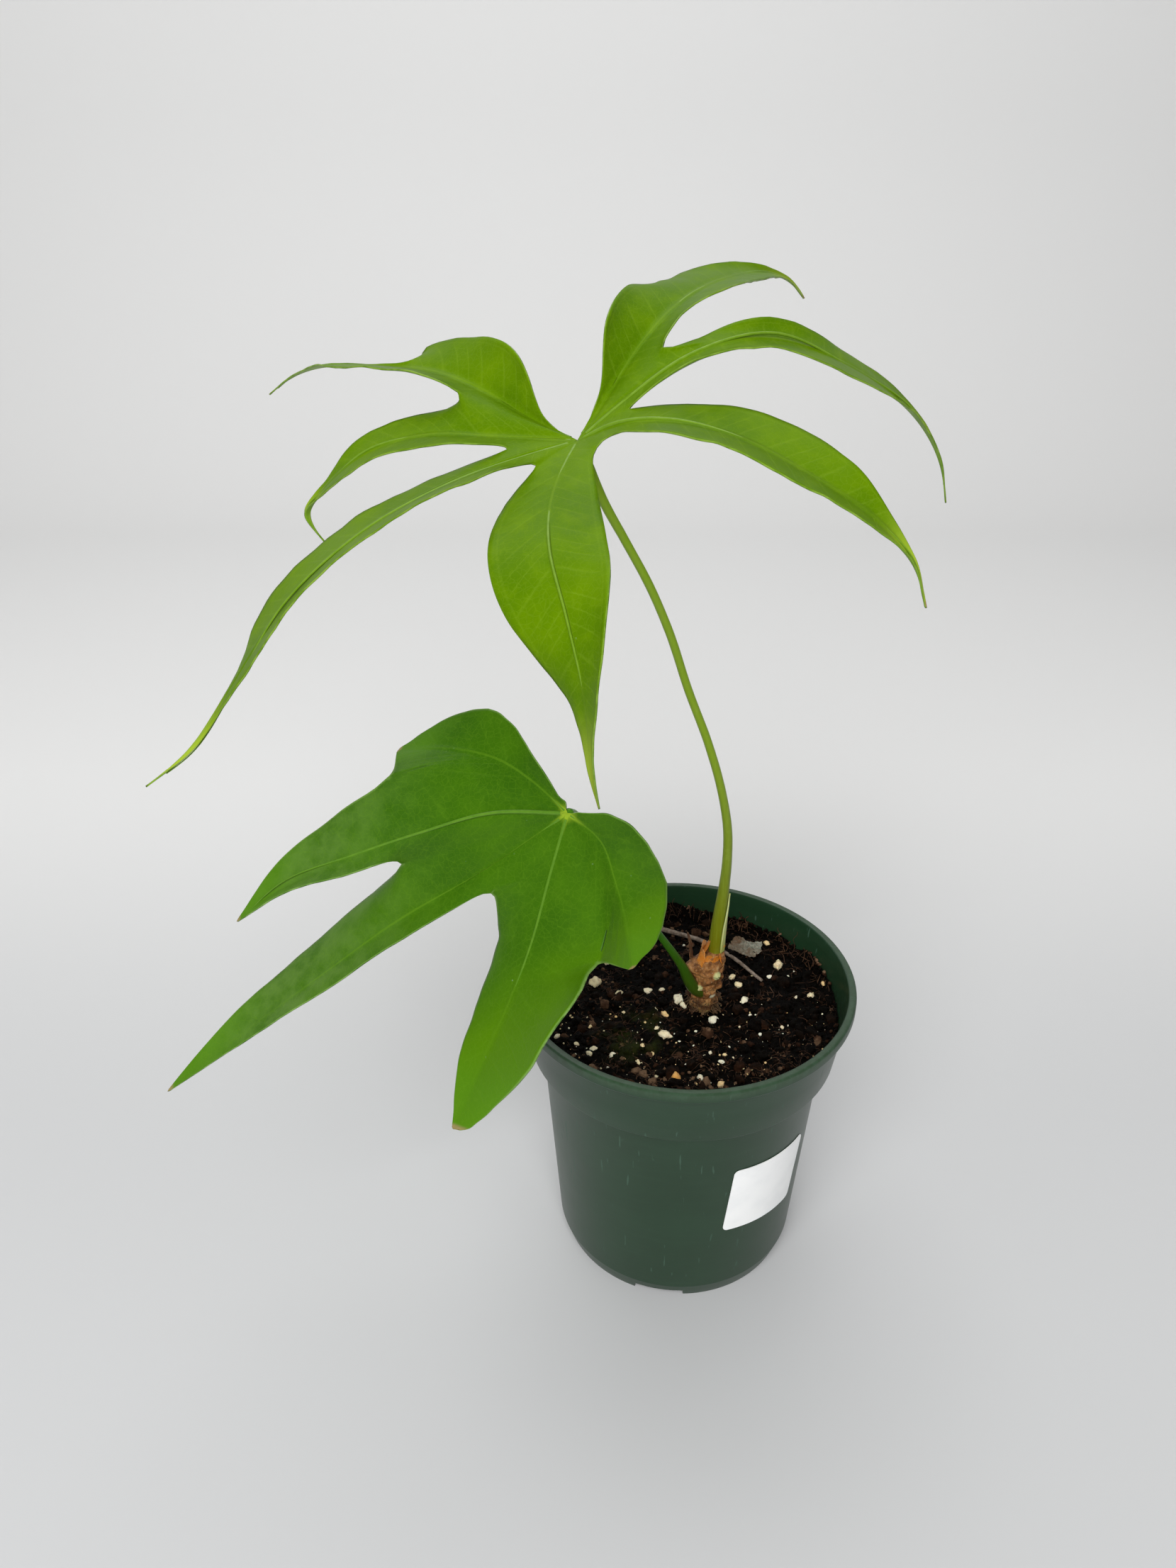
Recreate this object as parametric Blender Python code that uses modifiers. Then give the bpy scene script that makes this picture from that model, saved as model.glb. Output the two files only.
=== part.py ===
# A young Anthurium pedatoradiatum with two leaves, in a round nursery pot.
# Metres, +Z up. The origin is the middle of the pot's base, on the surface it stands on.
# The front of the plant faces -Y.

import math
import random

import bmesh
import bpy
import numpy as np
from mathutils import Matrix, Vector, noise
from mathutils.bvhtree import BVHTree

MM = 0.001
GAP = 0.3 * MM
# A tube has flat sides, so a hole round one is cut a little wider than the gap
TUBE_FIT = 0.38 * MM

# Pot, in mm: a standard four inch round nursery pot
POT_HEIGHT = 102
RIM_RADIUS = 54
RIM_DROP = 3.5
RIM_EASE = 0.7
COLLAR_TOP_RADIUS = 52
COLLAR_BOTTOM_RADIUS = 49.2
COLLAR_BOTTOM = 79.5
BODY_TOP_RADIUS = 45.3
BODY_BOTTOM_RADIUS = 40
FOOT_RADIUS = 36.8
FOOT_HEIGHT = 6
POT_WALL = 1.2
EDGE_EASE = 0.4
POT_SIDES = 48
SLOT_COUNT = 4
SLOT_WIDTH = 16
SLOT_HEIGHT = 3
SLOT_REACH = 14
SLOT_AZIMUTH = -101

# Label on the pot's wall, in mm and degrees
LABEL_WIDTH = 29.5
LABEL_HEIGHT = 27
LABEL_MIDDLE = 45.3
LABEL_AZIMUTH = -52.8
LABEL_TILT = -4
LABEL_THICKNESS = 0.4
LABEL_PLACES = (0, 0.06, 0.2, 0.4, 0.6, 0.8, 0.94, 1)

# Soil, in mm: a peat mix with clods, and perlite grains fused to its top
SOIL_LEVEL = 90
SOIL_RELIEF = 1.6
SOIL_GRAIN = 9
SOIL_RINGS = (0, 6, 12, 18, 24, 30, 36, 42, 46)
PERLITE = ((33.6, 21.6), (31.4, 33.2), (-1, 2.2), (-6, -5.5), (-11.6, 7), (-6.2, 7.6), (18.8, 9.5),
           (17.4, 14.5), (19.8, 1), (9.7, -6.6), (30.5, 15.8))
PERLITE_SIZE = 1.7
GRAIN_COUNT = 34
GRAIN_SIZES = (1.3, 2.6)
GRAIN_REACH = 44
GRAIN_SPACING = 5.5
GRAIN_SEED = 4
GRAIN_CLEAR_RADIUS = 12

# Rhizome, in mm: centre and radius of its sections from the bottom up
RHIZOME = ((6.5, 0, 76, 2.2), (6.5, 0, 82, 3.8), (6.5, 0, 91, 4.8), (6.6, 0, 96, 5.8),
           (6.8, 0, 101, 6.4), (7.2, 0, 106, 6.1), (8.4, 0, 110, 4.9), (9.4, 0, 113.5, 3.4))
RHIZOME_LUMPS = 0.5
SCALE_COUNT = 7
SCALE_LENGTH = 11
SCALE_SEED = 11

# Leaf stalks, in mm: centre and radius from the socket in the rhizome to under the blade
TALL_STALK = ((9.6, 0, 107, 2.3), (9.5, 0, 113, 2.3), (9.7, -0.3, 120, 2.2), (10.2, -0.7, 128, 1.95),
              (10.8, -1.2, 137, 1.65), (11.1, -1.6, 147, 1.45), (10.6, -2.2, 157, 1.35),
              (8.2, -3, 170, 1.25), (3.5, -3.6, 186, 1.2), (-2.9, -4.4, 203, 1.15),
              (-9, -5.1, 221, 1.15), (-14.6, -5.8, 234, 1.15), (-21, -6.5, 246, 1.15),
              (-26.9, -7.5, 257, 1.25))
LOW_STALK = ((6.5, -2.6, 92.5, 1.9), (3.3, -3, 97.6, 1.8), (-1.7, -5, 110.3, 1.35),
             (-10, -8, 125.3, 1.05), (-18.5, -12, 141, 0.95), (-27, -15.5, 157, 0.95))
KNEE_LENGTH = 5
KNEE_RADIUS = 1.5
STALK_STEP = 4
STALK_SIDES_SETTING = 3

# Pale leaf base pressed to the tall stalk, in mm and degrees
SHEATH_BOTTOM = 115
SHEATH_TOP = 134
SHEATH_SPREAD = 62
SHEATH_AZIMUTH = -8
SHEATH_THICKNESS = 0.6

# Dead litter lying on the soil, in mm
DRY_STEM = ((-13, 42), (-6, 41), (3, 37), (10, 32), (17, 25.5), (22, 20), (27, 12.5))
DRY_STEM_RADII = (0.9, 0.55)
SCRAP = ((17.5, 29), (19.5, 34), (22, 37), (24.5, 33.5), (29.5, 33), (29, 28), (25, 24.5), (21, 27))
SCRAP_THICKNESS = 0.7
SCRAP_CRUMPLE = 0.9
LITTER_CLEARANCE = 0.35

# Leaf blades, in mm
BLADE_THICKNESS = 0.65
ARCH = 0.07
WEB_FADE = 0.08

# Share of a half lobe's greatest width, along the rib from its base to its tip
DRIP_TIP = ((0, 0.12), (0.1, 0.5), (0.2, 0.75), (0.32, 0.93), (0.45, 1), (0.58, 0.91), (0.7, 0.66),
            (0.8, 0.33), (0.88, 0.16), (0.95, 0.1), (1, 0.02))
TAPER = ((0, 0.12), (0.1, 0.5), (0.2, 0.75), (0.32, 0.93), (0.45, 1), (0.6, 0.88), (0.75, 0.6),
         (0.86, 0.33), (0.94, 0.15), (1, 0.02))
ROUND = ((0, 0.3), (0.12, 0.62), (0.25, 0.88), (0.4, 0.99), (0.5, 1), (0.65, 0.95), (0.8, 0.78),
         (0.9, 0.55), (0.96, 0.35), (1, 0.08))
FULL = ((0, 0.12), (0.1, 0.5), (0.2, 0.75), (0.32, 0.93), (0.45, 1), (0.58, 1), (0.7, 0.8),
        (0.8, 0.38), (0.88, 0.16), (0.95, 0.1), (1, 0.02))
SHOULDER = ((0, 0.12), (0.1, 0.5), (0.2, 0.75), (0.32, 0.93), (0.45, 1), (0.53, 0.97), (0.57, 0.6),
            (0.62, 0.22), (0.7, 0.13), (0.85, 0.1), (1, 0.02))
WIDEST = 0.45

# Places along the rib where a lobe's turn and fold are given
TURN_PLACES = (0, 0.2, 0.45, 0.7, 1)

# Rows across a lobe, by their place along the rib
ROWS = (0, 0.09, 0.19, 0.3, 0.42, 0.55, 0.68, 0.8, 0.9, 0.96, 1)
HALF_COLUMNS = 3
FINER_ROWS = 2

# The lobes of the tall leaf, each one's left side next to the following one's right side.
# rib: points in mm from the hub to the tip. turn: roll about the rib in degrees.
# fold: rise of both halves in degrees. left, right: greatest half width in mm and where it lies.
# gap: where along its rib the cut to the next lobe ends, and to the one before.
# rows: how many rows the web to the next lobe has. outline: shares of the width along the rib.
# base: share of the rib over which a margin that meets no other lobe starts from the hub.
TALL_HUB = (-33, -10, 272)
TALL_NORMAL = (-0.35, -0.3, 0.89)
TALL_LOBES = (
    dict(rib=((-42, -3, 274), (-56, 8, 280), (-72, 21, 283), (-89, 34, 282), (-106, 47, 280),
              (-117, 56, 275), (-125, 62, 269)),
         turn=(1, 19, 33, 0), fold=(50, 16, -2, 1), left=(12.5, 0.41), right=(13.2, 0.42),
         gap=(0.3, None), rows=3, outline=DRIP_TIP, right_outline=SHOULDER, base=0.28),
    dict(rib=((-42, -8, 272), (-55, -6, 272), (-70, -3, 272), (-86, -1, 268), (-98, 1, 258),
              (-105, 3, 250), (-100, 2, 243)),
         turn=(6, 11, 3, 5), fold=(20, 6, 3, -4), left=(11, 0.43), right=(11, 0.38),
         gap=(0.16, 0.32), rows=2, outline=DRIP_TIP),
    dict(rib=((-45, -16, 270), (-63, -26, 266), (-82, -36, 258), (-100, -46, 244),
              (-114, -53, 225), (-122, -58, 211), (-133, -63, 205)),
         turn=(15, 18, 18, 34), fold=(3, 3, 1, -2), left=(12.5, 0.48), right=(12.7, 0.5),
         gap=(0.095, 0.13), rows=1, outline=DRIP_TIP, right_outline=FULL),
    dict(rib=((-36, -20, 269), (-39, -36, 264), (-39, -53, 259), (-35, -69, 248), (-31, -77, 231),
              (-30, -78, 218), (-28, -77, 207)),
         turn=(-6, -4, 40, 70), fold=(-4, -2, 0, 5), left=(12.7, 0.43), right=(14, 0.44),
         gap=(0.09, 0.115), rows=1, outline=DRIP_TIP),
    dict(rib=((-25, -14, 277), (-12, -22, 280), (3, -30, 278), (19, -39, 271), (34, -47, 263),
              (42, -51, 255), (45, -53, 245)),
         turn=(-19, -24, -18, -40), fold=(-2, 9, 17, -25), left=(12.7, 0.44), right=(12.7, 0.5),
         gap=(0.13, 0.09), rows=2, outline=DRIP_TIP),
    dict(rib=((-23, -7, 280), (-6, -2, 291), (15, 5, 295), (36, 11, 286), (56, 17, 273),
              (65, 20, 260), (68, 21, 248)),
         turn=(-13, 9, 6, 20), fold=(4, 3, 2, -8), left=(8, 0.58), right=(11, 0.48),
         gap=(0.22, 0.09), rows=3, outline=DRIP_TIP),
    dict(rib=((-27, -2, 279), (-18, 11, 290), (-6, 26, 300), (7, 45, 303), (20, 63, 303),
              (29, 75, 299), (35, 84, 293)),
         turn=(18, 4, 13, 45), fold=(50, 10, 1, 3), left=(13.5, 0.48), right=(13, 0.42),
         gap=(None, 0.235), rows=0, outline=DRIP_TIP, base=0.28),
)

# The lobes of the low leaf, in the same form
LOW_HUB = (-36, -25, 176)
LOW_NORMAL = (-0.25, -0.81, 0.53)
LOW_LOBES = (
    dict(rib=((-45, -19, 182), (-55, -13, 186), (-68, -8, 187), (-84, -3, 184)),
         turn=(-2, 13, 28, 45), fold=(24, 10, 7, 5), left=(16, 0.5), right=(13, 0.55),
         gap=(0.85, None), rows=5, outline=ROUND, base=0.05),
    dict(rib=((-57, -25, 176), (-76, -25, 170), (-96, -26, 163), (-115, -26, 155),
              (-130, -26, 141)),
         turn=(4, 10, 22, 20), fold=(9, 11, 4, -6), left=(5.6, 0.6), right=(16.5, 0.38),
         gap=(0.47, 0.46), rows=4, outline=TAPER),
    dict(rib=((-59, -27, 159), (-84, -30, 144), (-107, -34, 127), (-130, -39, 111),
              (-152, -44, 94)),
         turn=(4, 30, 35, 8), fold=(9, 2, 3, 5), left=(6.5, 0.46), right=(13.5, 0.5),
         gap=(0.22, 0.35), rows=2, outline=TAPER),
    dict(rib=((-41, -32, 160), (-46, -40, 144), (-52, -48, 130), (-60, -57, 115), (-67, -66, 101)),
         turn=(-2, 30, 32, 5), fold=(4, 0, 6, 5), left=(22, 0.53), right=(14, 0.46),
         gap=(0.4, 0.3), rows=5, outline=TAPER),
    dict(rib=((-27, -26, 168), (-23, -28, 156), (-20, -30, 145), (-18, -33, 130)),
         turn=(5, -6, -20, -26), fold=(28, 11, 6, 6), left=(13.3, 0.54), right=(13.8, 0.41),
         gap=(None, 0.92), rows=0, outline=ROUND, base=0.05),
)


def clear_scene():
    for obj in list(bpy.data.objects):
        bpy.data.objects.remove(obj, do_unlink=True)


def new_collection(name):
    collection = bpy.data.collections.new(name)
    bpy.context.scene.collection.children.link(collection)
    return collection


def new_material(name, colour, roughness, metallic=0.0):
    material = bpy.data.materials.new(name)
    material.use_nodes = True
    shader = material.node_tree.nodes["Principled BSDF"]
    shader.inputs["Base Color"].default_value = (*colour, 1)
    shader.inputs["Roughness"].default_value = roughness
    shader.inputs["Metallic"].default_value = metallic
    return material


def slopes(places, values):
    """Slope of a smooth curve through the values, at each of their places."""
    steps = np.diff(places)[:, None]
    rises = np.diff(values, axis=0) / steps
    share = steps[1:] / (steps[1:] + steps[:-1])
    inner = share * rises[:-1] + (1 - share) * rises[1:]
    return np.vstack([rises[:1], inner, rises[-1:]])


def smooth(places, values, at):
    """Read a smooth curve through the values (one row or number each) at the places in at."""
    places = np.asarray(places, float)
    values = np.asarray(values, float).reshape(len(places), -1)
    at = np.asarray(at, float)
    lean = slopes(places, values)
    i = np.clip(np.searchsorted(places, at, side="right") - 1, 0, len(places) - 2)
    step = (places[i + 1] - places[i])[:, None]
    u = (at - places[i])[:, None] / step
    before = (2 * u**3 - 3 * u**2 + 1) * values[i] + (u**3 - 2 * u**2 + u) * step * lean[i]
    after = (3 * u**2 - 2 * u**3) * values[i + 1] + (u**3 - u**2) * step * lean[i + 1]
    return before + after


def unit(rows):
    return rows / np.linalg.norm(rows, axis=-1, keepdims=True)


def rib_frames(points, normal, at):
    """Points, upward normals and left-hand directions along a rib, without needless twist."""
    points = np.asarray(points, float)
    places = np.r_[0, np.cumsum(np.linalg.norm(np.diff(points, axis=0), axis=1))]
    rib = smooth(places / places[-1], points, np.linspace(0, 1, 121))
    along = np.r_[0, np.cumsum(np.linalg.norm(np.diff(rib, axis=0), axis=1))]
    along = along / along[-1]
    ahead = unit(np.gradient(rib, axis=0))
    up = np.zeros_like(ahead)
    last = np.asarray(normal, float)
    for i, direction in enumerate(ahead):
        last = unit(last - (last @ direction) * direction)
        up[i] = last
    rib, ahead, up = (np.stack([np.interp(at, along, column) for column in rows.T], -1)
                      for rows in (rib, ahead, up))
    ahead = unit(ahead)
    up = unit(up - (up * ahead).sum(-1, keepdims=True) * ahead)
    return rib, up, np.cross(up, ahead)


def half_edge(hub, normal, lobe, side, at):
    """Edge of one half of a lobe at the places along its rib, and the half's own normals."""
    at = np.asarray(at, float)
    rib, up, left = rib_frames((hub, *lobe["rib"]), normal, at)
    turn = np.radians(smooth(TURN_PLACES, (0, *lobe["turn"]), at))
    fold = np.radians(smooth(TURN_PLACES, (lobe["fold"][0], *lobe["fold"]), at))
    width, widest = lobe[side]
    share_places, shares = zip(*lobe.get(side + "_outline", lobe["outline"]))
    width = width * smooth(share_places, shares, at ** (math.log(WIDEST) / math.log(widest)))
    sign = 1 if side == "left" else -1
    out = sign * (left * np.cos(turn) + up * np.sin(turn))
    top = up * np.cos(turn) - left * np.sin(turn)
    edge = rib + width * (out * np.cos(fold) + top * np.sin(fold))
    return edge, top


def blade_grid(hub, normal, lobes, finer=1):
    """Rows of points of every half lobe: rib, edge and normal, with shared webs between lobes."""
    hub = np.asarray(hub, float)
    steps = np.linspace(0, len(ROWS) - 1, (len(ROWS) - 1) * finer + 1)
    at = smooth(range(len(ROWS)), ROWS, steps)[:, 0]
    halves = []
    for number, lobe in enumerate(lobes):
        rib = rib_frames((hub, *lobe["rib"]), normal, at)[0]
        for side, shift, own in (("left", 1, 0), ("right", -1, 1)):
            cut = lobe["gap"][own]
            if cut is None:
                edge, top = half_edge(hub, normal, lobe, side, at)
                start = np.clip(at / lobe["base"], 0, 1)[:, None]
                edge = rib + (edge - rib) * start * start * (3 - 2 * start)
            else:
                other = lobes[number + shift]
                other_side = "right" if side == "left" else "left"
                web_rows = (lobe if side == "left" else other)["rows"] * finer
                own_end = half_edge(hub, normal, lobe, side, [cut])[0][0]
                other_end = half_edge(hub, normal, other, other_side, [other["gap"][1 - own]])[0][0]
                end = (own_end + other_end) / 2
                edge_at = np.interp(np.arange(len(at)), (0, web_rows, len(at) - 1), (0, cut, 1))
                past = np.clip((at - at[web_rows]) / (1 - at[web_rows]), 0, 1)
                edge_at = np.where(np.arange(len(at)) > web_rows, cut + (1 - cut) * past, edge_at)
                edge, top = half_edge(hub, normal, lobe, side, edge_at)
                fade = np.clip(1 - (edge_at - cut) / WEB_FADE, 0, 1) ** 2
                edge = edge + fade[:, None] * (end - own_end)
                web = np.arange(web_rows + 1)[:, None] / web_rows
                edge[:web_rows + 1] = hub + web * (end - hub)
            edge[-1] = rib[-1]
            halves.append((side, rib, edge, top))
    return halves


def new_mesh_object(name, mesh, collection, material):
    data = bpy.data.meshes.new(name)
    mesh.to_mesh(data)
    mesh.free()
    obj = bpy.data.objects.new(name, data)
    collection.objects.link(obj)
    obj.data.materials.append(material)
    data.shade_smooth()
    return obj


def hide_cutter(obj):
    obj.hide_render = True
    obj.display_type = "WIRE"


def bake(obj):
    """The object as it looks with its modifiers or bevel, as a welded mesh in its place."""
    name = obj.name
    collection = obj.users_collection[0]
    materials = [slot.material for slot in obj.material_slots]
    graph = bpy.context.evaluated_depsgraph_get()
    data = bpy.data.meshes.new_from_object(obj.evaluated_get(graph))
    welded = bmesh.new()
    welded.from_mesh(data)
    bmesh.ops.remove_doubles(welded, verts=welded.verts, dist=0.01 * MM)
    bmesh.ops.recalc_face_normals(welded, faces=welded.faces)
    welded.to_mesh(data)
    welded.free()
    place = obj.matrix_world.copy()
    bpy.data.objects.remove(obj, do_unlink=True)
    baked = bpy.data.objects.new(name, data)
    baked.matrix_world = place
    collection.objects.link(baked)
    data.materials.clear()
    for material in materials:
        data.materials.append(material)
    return baked


def boolean(obj, other, operation):
    modifier = obj.modifiers.new(operation.lower(), "BOOLEAN")
    modifier.operation = operation
    modifier.solver = "EXACT"
    if isinstance(other, bpy.types.Collection):
        modifier.operand_type = "COLLECTION"
        modifier.collection = other
    else:
        modifier.object = other


def tube(name, points, collection, material=None):
    """A closed tube through points of (x, y, z, radius) in mm, as a curve object."""
    data = bpy.data.curves.new(name, "CURVE")
    data.dimensions = "3D"
    data.bevel_depth = 1.0
    data.bevel_resolution = STALK_SIDES_SETTING
    data.use_fill_caps = True
    spline = data.splines.new("POLY")
    spline.points.add(len(points) - 1)
    for knot, (x, y, z, radius) in zip(spline.points, points):
        knot.co = (x * MM, y * MM, z * MM, 1)
        knot.radius = radius * MM
    obj = bpy.data.objects.new(name, data)
    collection.objects.link(obj)
    if material:
        data.materials.append(material)
    return obj


def even_points(points, step):
    """The same route through (x, y, z, radius), read at even steps from a smooth curve."""
    points = np.asarray(points, float)
    along = np.r_[0, np.cumsum(np.linalg.norm(np.diff(points[:, :3], axis=0), axis=1))]
    count = max(2, round(along[-1] / step) + 1)
    return smooth(along, points, np.linspace(0, along[-1], count))


def pot_radius(height):
    """Outer radius of the pot's body, below the collar."""
    share = (height - FOOT_HEIGHT) / (COLLAR_BOTTOM - FOOT_HEIGHT)
    return BODY_BOTTOM_RADIUS + (BODY_TOP_RADIUS - BODY_BOTTOM_RADIUS) * share


def pot_profile():
    """Half section of the pot: up its inner wall, over the rim and down its outer wall."""
    rim_bottom = POT_HEIGHT - RIM_DROP
    inner_foot = FOOT_RADIUS - POT_WALL
    inner = [
        (0, POT_WALL),
        (inner_foot, POT_WALL),
        (BODY_BOTTOM_RADIUS - POT_WALL, FOOT_HEIGHT),
        (BODY_TOP_RADIUS - POT_WALL, COLLAR_BOTTOM),
        (COLLAR_BOTTOM_RADIUS - POT_WALL, COLLAR_BOTTOM + POT_WALL),
        (COLLAR_TOP_RADIUS - POT_WALL, rim_bottom),
        (COLLAR_TOP_RADIUS - EDGE_EASE, POT_HEIGHT - RIM_EASE),
        (COLLAR_TOP_RADIUS + EDGE_EASE, POT_HEIGHT),
    ]
    outer = [
        (RIM_RADIUS - RIM_EASE, POT_HEIGHT),
        (RIM_RADIUS, POT_HEIGHT - RIM_EASE),
        (RIM_RADIUS, rim_bottom + RIM_EASE),
        (RIM_RADIUS - RIM_EASE, rim_bottom),
        (COLLAR_TOP_RADIUS, rim_bottom - EDGE_EASE),
        (COLLAR_BOTTOM_RADIUS, COLLAR_BOTTOM + EDGE_EASE),
        (COLLAR_BOTTOM_RADIUS - EDGE_EASE, COLLAR_BOTTOM),
        (BODY_TOP_RADIUS, COLLAR_BOTTOM - POT_WALL),
        (BODY_BOTTOM_RADIUS, FOOT_HEIGHT),
    ]
    depth = BODY_BOTTOM_RADIUS - FOOT_RADIUS
    for angle in (25, 50, 75):
        turn = math.radians(angle)
        outer.append((FOOT_RADIUS + depth * math.cos(turn), FOOT_HEIGHT * (1 - math.sin(turn))))
    outer += [(FOOT_RADIUS, 0), (0, 0)]
    return inner + outer


def screw_object(name, profile, steps, collection, material):
    """A turned body: its half section of (radius, height) in mm, swept round Z."""
    data = bpy.data.meshes.new(name)
    points = [(radius * MM, 0, height * MM) for radius, height in profile]
    data.from_pydata(points, [(i, i + 1) for i in range(len(points) - 1)], [])
    obj = bpy.data.objects.new(name, data)
    collection.objects.link(obj)
    data.materials.append(material)
    screw = obj.modifiers.new("turned", "SCREW")
    screw.axis = "Z"
    screw.steps = steps
    screw.render_steps = steps
    screw.use_merge_vertices = True
    screw.merge_threshold = 0.00001
    screw.use_smooth_shade = True
    return obj


def make_pot(collection, cutters, material):
    pot = screw_object("pot", pot_profile(), POT_SIDES, collection, material)
    for number in range(SLOT_COUNT):
        bpy.ops.mesh.primitive_cube_add(size=1)
        cutter = bpy.context.object
        cutter.name = "drain_slot_%d" % (number + 1)
        cutter.users_collection[0].objects.unlink(cutter)
        cutters.objects.link(cutter)
        cutter.scale = (SLOT_REACH * MM, SLOT_WIDTH * MM, 2 * SLOT_HEIGHT * MM)
        angle = math.radians(SLOT_AZIMUTH + 360 * number / SLOT_COUNT)
        middle = FOOT_RADIUS * MM
        cutter.location = (middle * math.cos(angle), middle * math.sin(angle), 0)
        cutter.rotation_euler = (0, 0, angle)
        hide_cutter(cutter)
        boolean(pot, cutter, "DIFFERENCE")
    return pot


def make_label(collection, material):
    """A square sticker bent round the pot's wall, its corners cut short."""
    tilt = math.radians(LABEL_TILT)
    mesh = bmesh.new()
    rows = []
    for up in LABEL_PLACES:
        row = []
        for along in LABEL_PLACES:
            x = (along - 0.5) * LABEL_WIDTH
            z = (up - 0.5) * LABEL_HEIGHT
            height = LABEL_MIDDLE + z * math.cos(tilt) + x * math.sin(tilt)
            radius = pot_radius(height) + GAP / MM
            sweep = (x * math.cos(tilt) - z * math.sin(tilt)) / pot_radius(LABEL_MIDDLE)
            angle = math.radians(LABEL_AZIMUTH) + sweep
            point = Vector((radius * math.cos(angle), radius * math.sin(angle), height))
            row.append(mesh.verts.new(point * MM))
        rows.append(row)
    last = len(LABEL_PLACES) - 1
    corners = {rows[0][0], rows[0][last], rows[last][0], rows[last][last]}
    for i in range(last):
        for j in range(last):
            cell = (rows[i][j], rows[i][j + 1], rows[i + 1][j + 1], rows[i + 1][j])
            mesh.faces.new([vertex for vertex in cell if vertex not in corners])
    for vertex in corners:
        mesh.verts.remove(vertex)
    label = new_mesh_object("label", mesh, collection, material)
    solidify = label.modifiers.new("thickness", "SOLIDIFY")
    solidify.thickness = LABEL_THICKNESS * MM
    solidify.offset = 1
    return label


def soil_height(x, y):
    """Height of the soil's top in mm, uneven and a little higher at the left."""
    rough = noise.noise(Vector((x, y, 3)) / SOIL_GRAIN)
    fine = noise.noise(Vector((x, y, 9)) / (0.4 * SOIL_GRAIN))
    return SOIL_LEVEL + SOIL_RELIEF * (rough + 0.4 * fine) - 0.012 * x


def make_soil(collection, cutters, material):
    wall = POT_WALL + GAP / MM
    slant = (COLLAR_TOP_RADIUS - COLLAR_BOTTOM_RADIUS) / (POT_HEIGHT - RIM_DROP - COLLAR_BOTTOM)
    edge_radius = COLLAR_BOTTOM_RADIUS - wall + slant * (SOIL_LEVEL - COLLAR_BOTTOM) - EDGE_EASE
    side = [
        (BODY_TOP_RADIUS - wall, COLLAR_BOTTOM),
        (BODY_BOTTOM_RADIUS - wall, FOOT_HEIGHT),
        (FOOT_RADIUS - wall, wall),
        (0, wall),
    ]
    ledge = COLLAR_BOTTOM + POT_WALL + EDGE_EASE
    shoulder = [(edge_radius, SOIL_LEVEL), (COLLAR_BOTTOM_RADIUS - wall, ledge)]
    top = [(radius, SOIL_LEVEL) for radius in SOIL_RINGS]
    soil = bake(screw_object("soil", top + shoulder + side, POT_SIDES, collection, material))
    for vertex in soil.data.vertices:
        if vertex.co.z > (SOIL_LEVEL - 1) * MM:
            vertex.co.z = soil_height(vertex.co.x / MM, vertex.co.y / MM) * MM
    grains = new_collection("soil grains")
    chance = random.Random(GRAIN_SEED)
    spots = [(Vector((x, y, 0)), PERLITE_SIZE) for x, y in PERLITE]
    while len(spots) < GRAIN_COUNT:
        angle = chance.uniform(0, 2 * math.pi)
        reach = GRAIN_REACH * math.sqrt(chance.random())
        spot = Vector((reach * math.cos(angle), reach * math.sin(angle), 0))
        near_stem = (spot - Vector((RHIZOME[0][0], 0, 0))).length < GRAIN_CLEAR_RADIUS
        if not near_stem and all((spot - other).length > GRAIN_SPACING for other, _ in spots):
            spots.append((spot, chance.uniform(*GRAIN_SIZES)))
    for number, (spot, size) in enumerate(spots):
        grain = bmesh.new()
        squash = Vector((size, size * chance.uniform(0.7, 1), size * chance.uniform(0.6, 0.9)))
        spin = Matrix.Rotation(chance.uniform(0, math.pi), 4, "Z")
        height = soil_height(spot.x, spot.y) + 0.1 * size
        place = Matrix.Translation(Vector((spot.x, spot.y, height)) * MM)
        shape = Matrix.Diagonal((*(squash * MM), 1))
        bmesh.ops.create_icosphere(grain, subdivisions=1, radius=1, matrix=place @ spin @ shape)
        new_mesh_object("grain_%d" % (number + 1), grain, grains, material)
    boolean(soil, grains, "UNION")
    soil = bake(soil)
    for grain in list(grains.objects):
        bpy.data.objects.remove(grain, do_unlink=True)
    bpy.data.collections.remove(grains)
    hole = [(x, y, z, radius + TUBE_FIT / MM) for x, y, z, radius in RHIZOME]
    hole[0] = (hole[0][0], hole[0][1], hole[0][2] - GAP / MM, hole[0][3])
    cutter = bake(tube("stem_hole", even_points(hole, STALK_STEP), cutters))
    hide_cutter(cutter)
    boolean(soil, cutter, "DIFFERENCE")
    return soil


def scale_tube(base_angle, height, length, lean):
    """A pointed leaf base on the rhizome: a flat tapering tube that leans outward."""
    section = [part for part in RHIZOME if part[2] <= height][-1]
    points = []
    for share, radius in ((0, 1.9), (0.35, 1.7), (0.7, 1.0), (1, 0.35)):
        reach = section[3] - 1.2 + lean * share * share
        x = section[0] + reach * math.cos(base_angle)
        y = section[1] + reach * math.sin(base_angle)
        points.append((x, y, height + length * share, radius))
    return points


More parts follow.
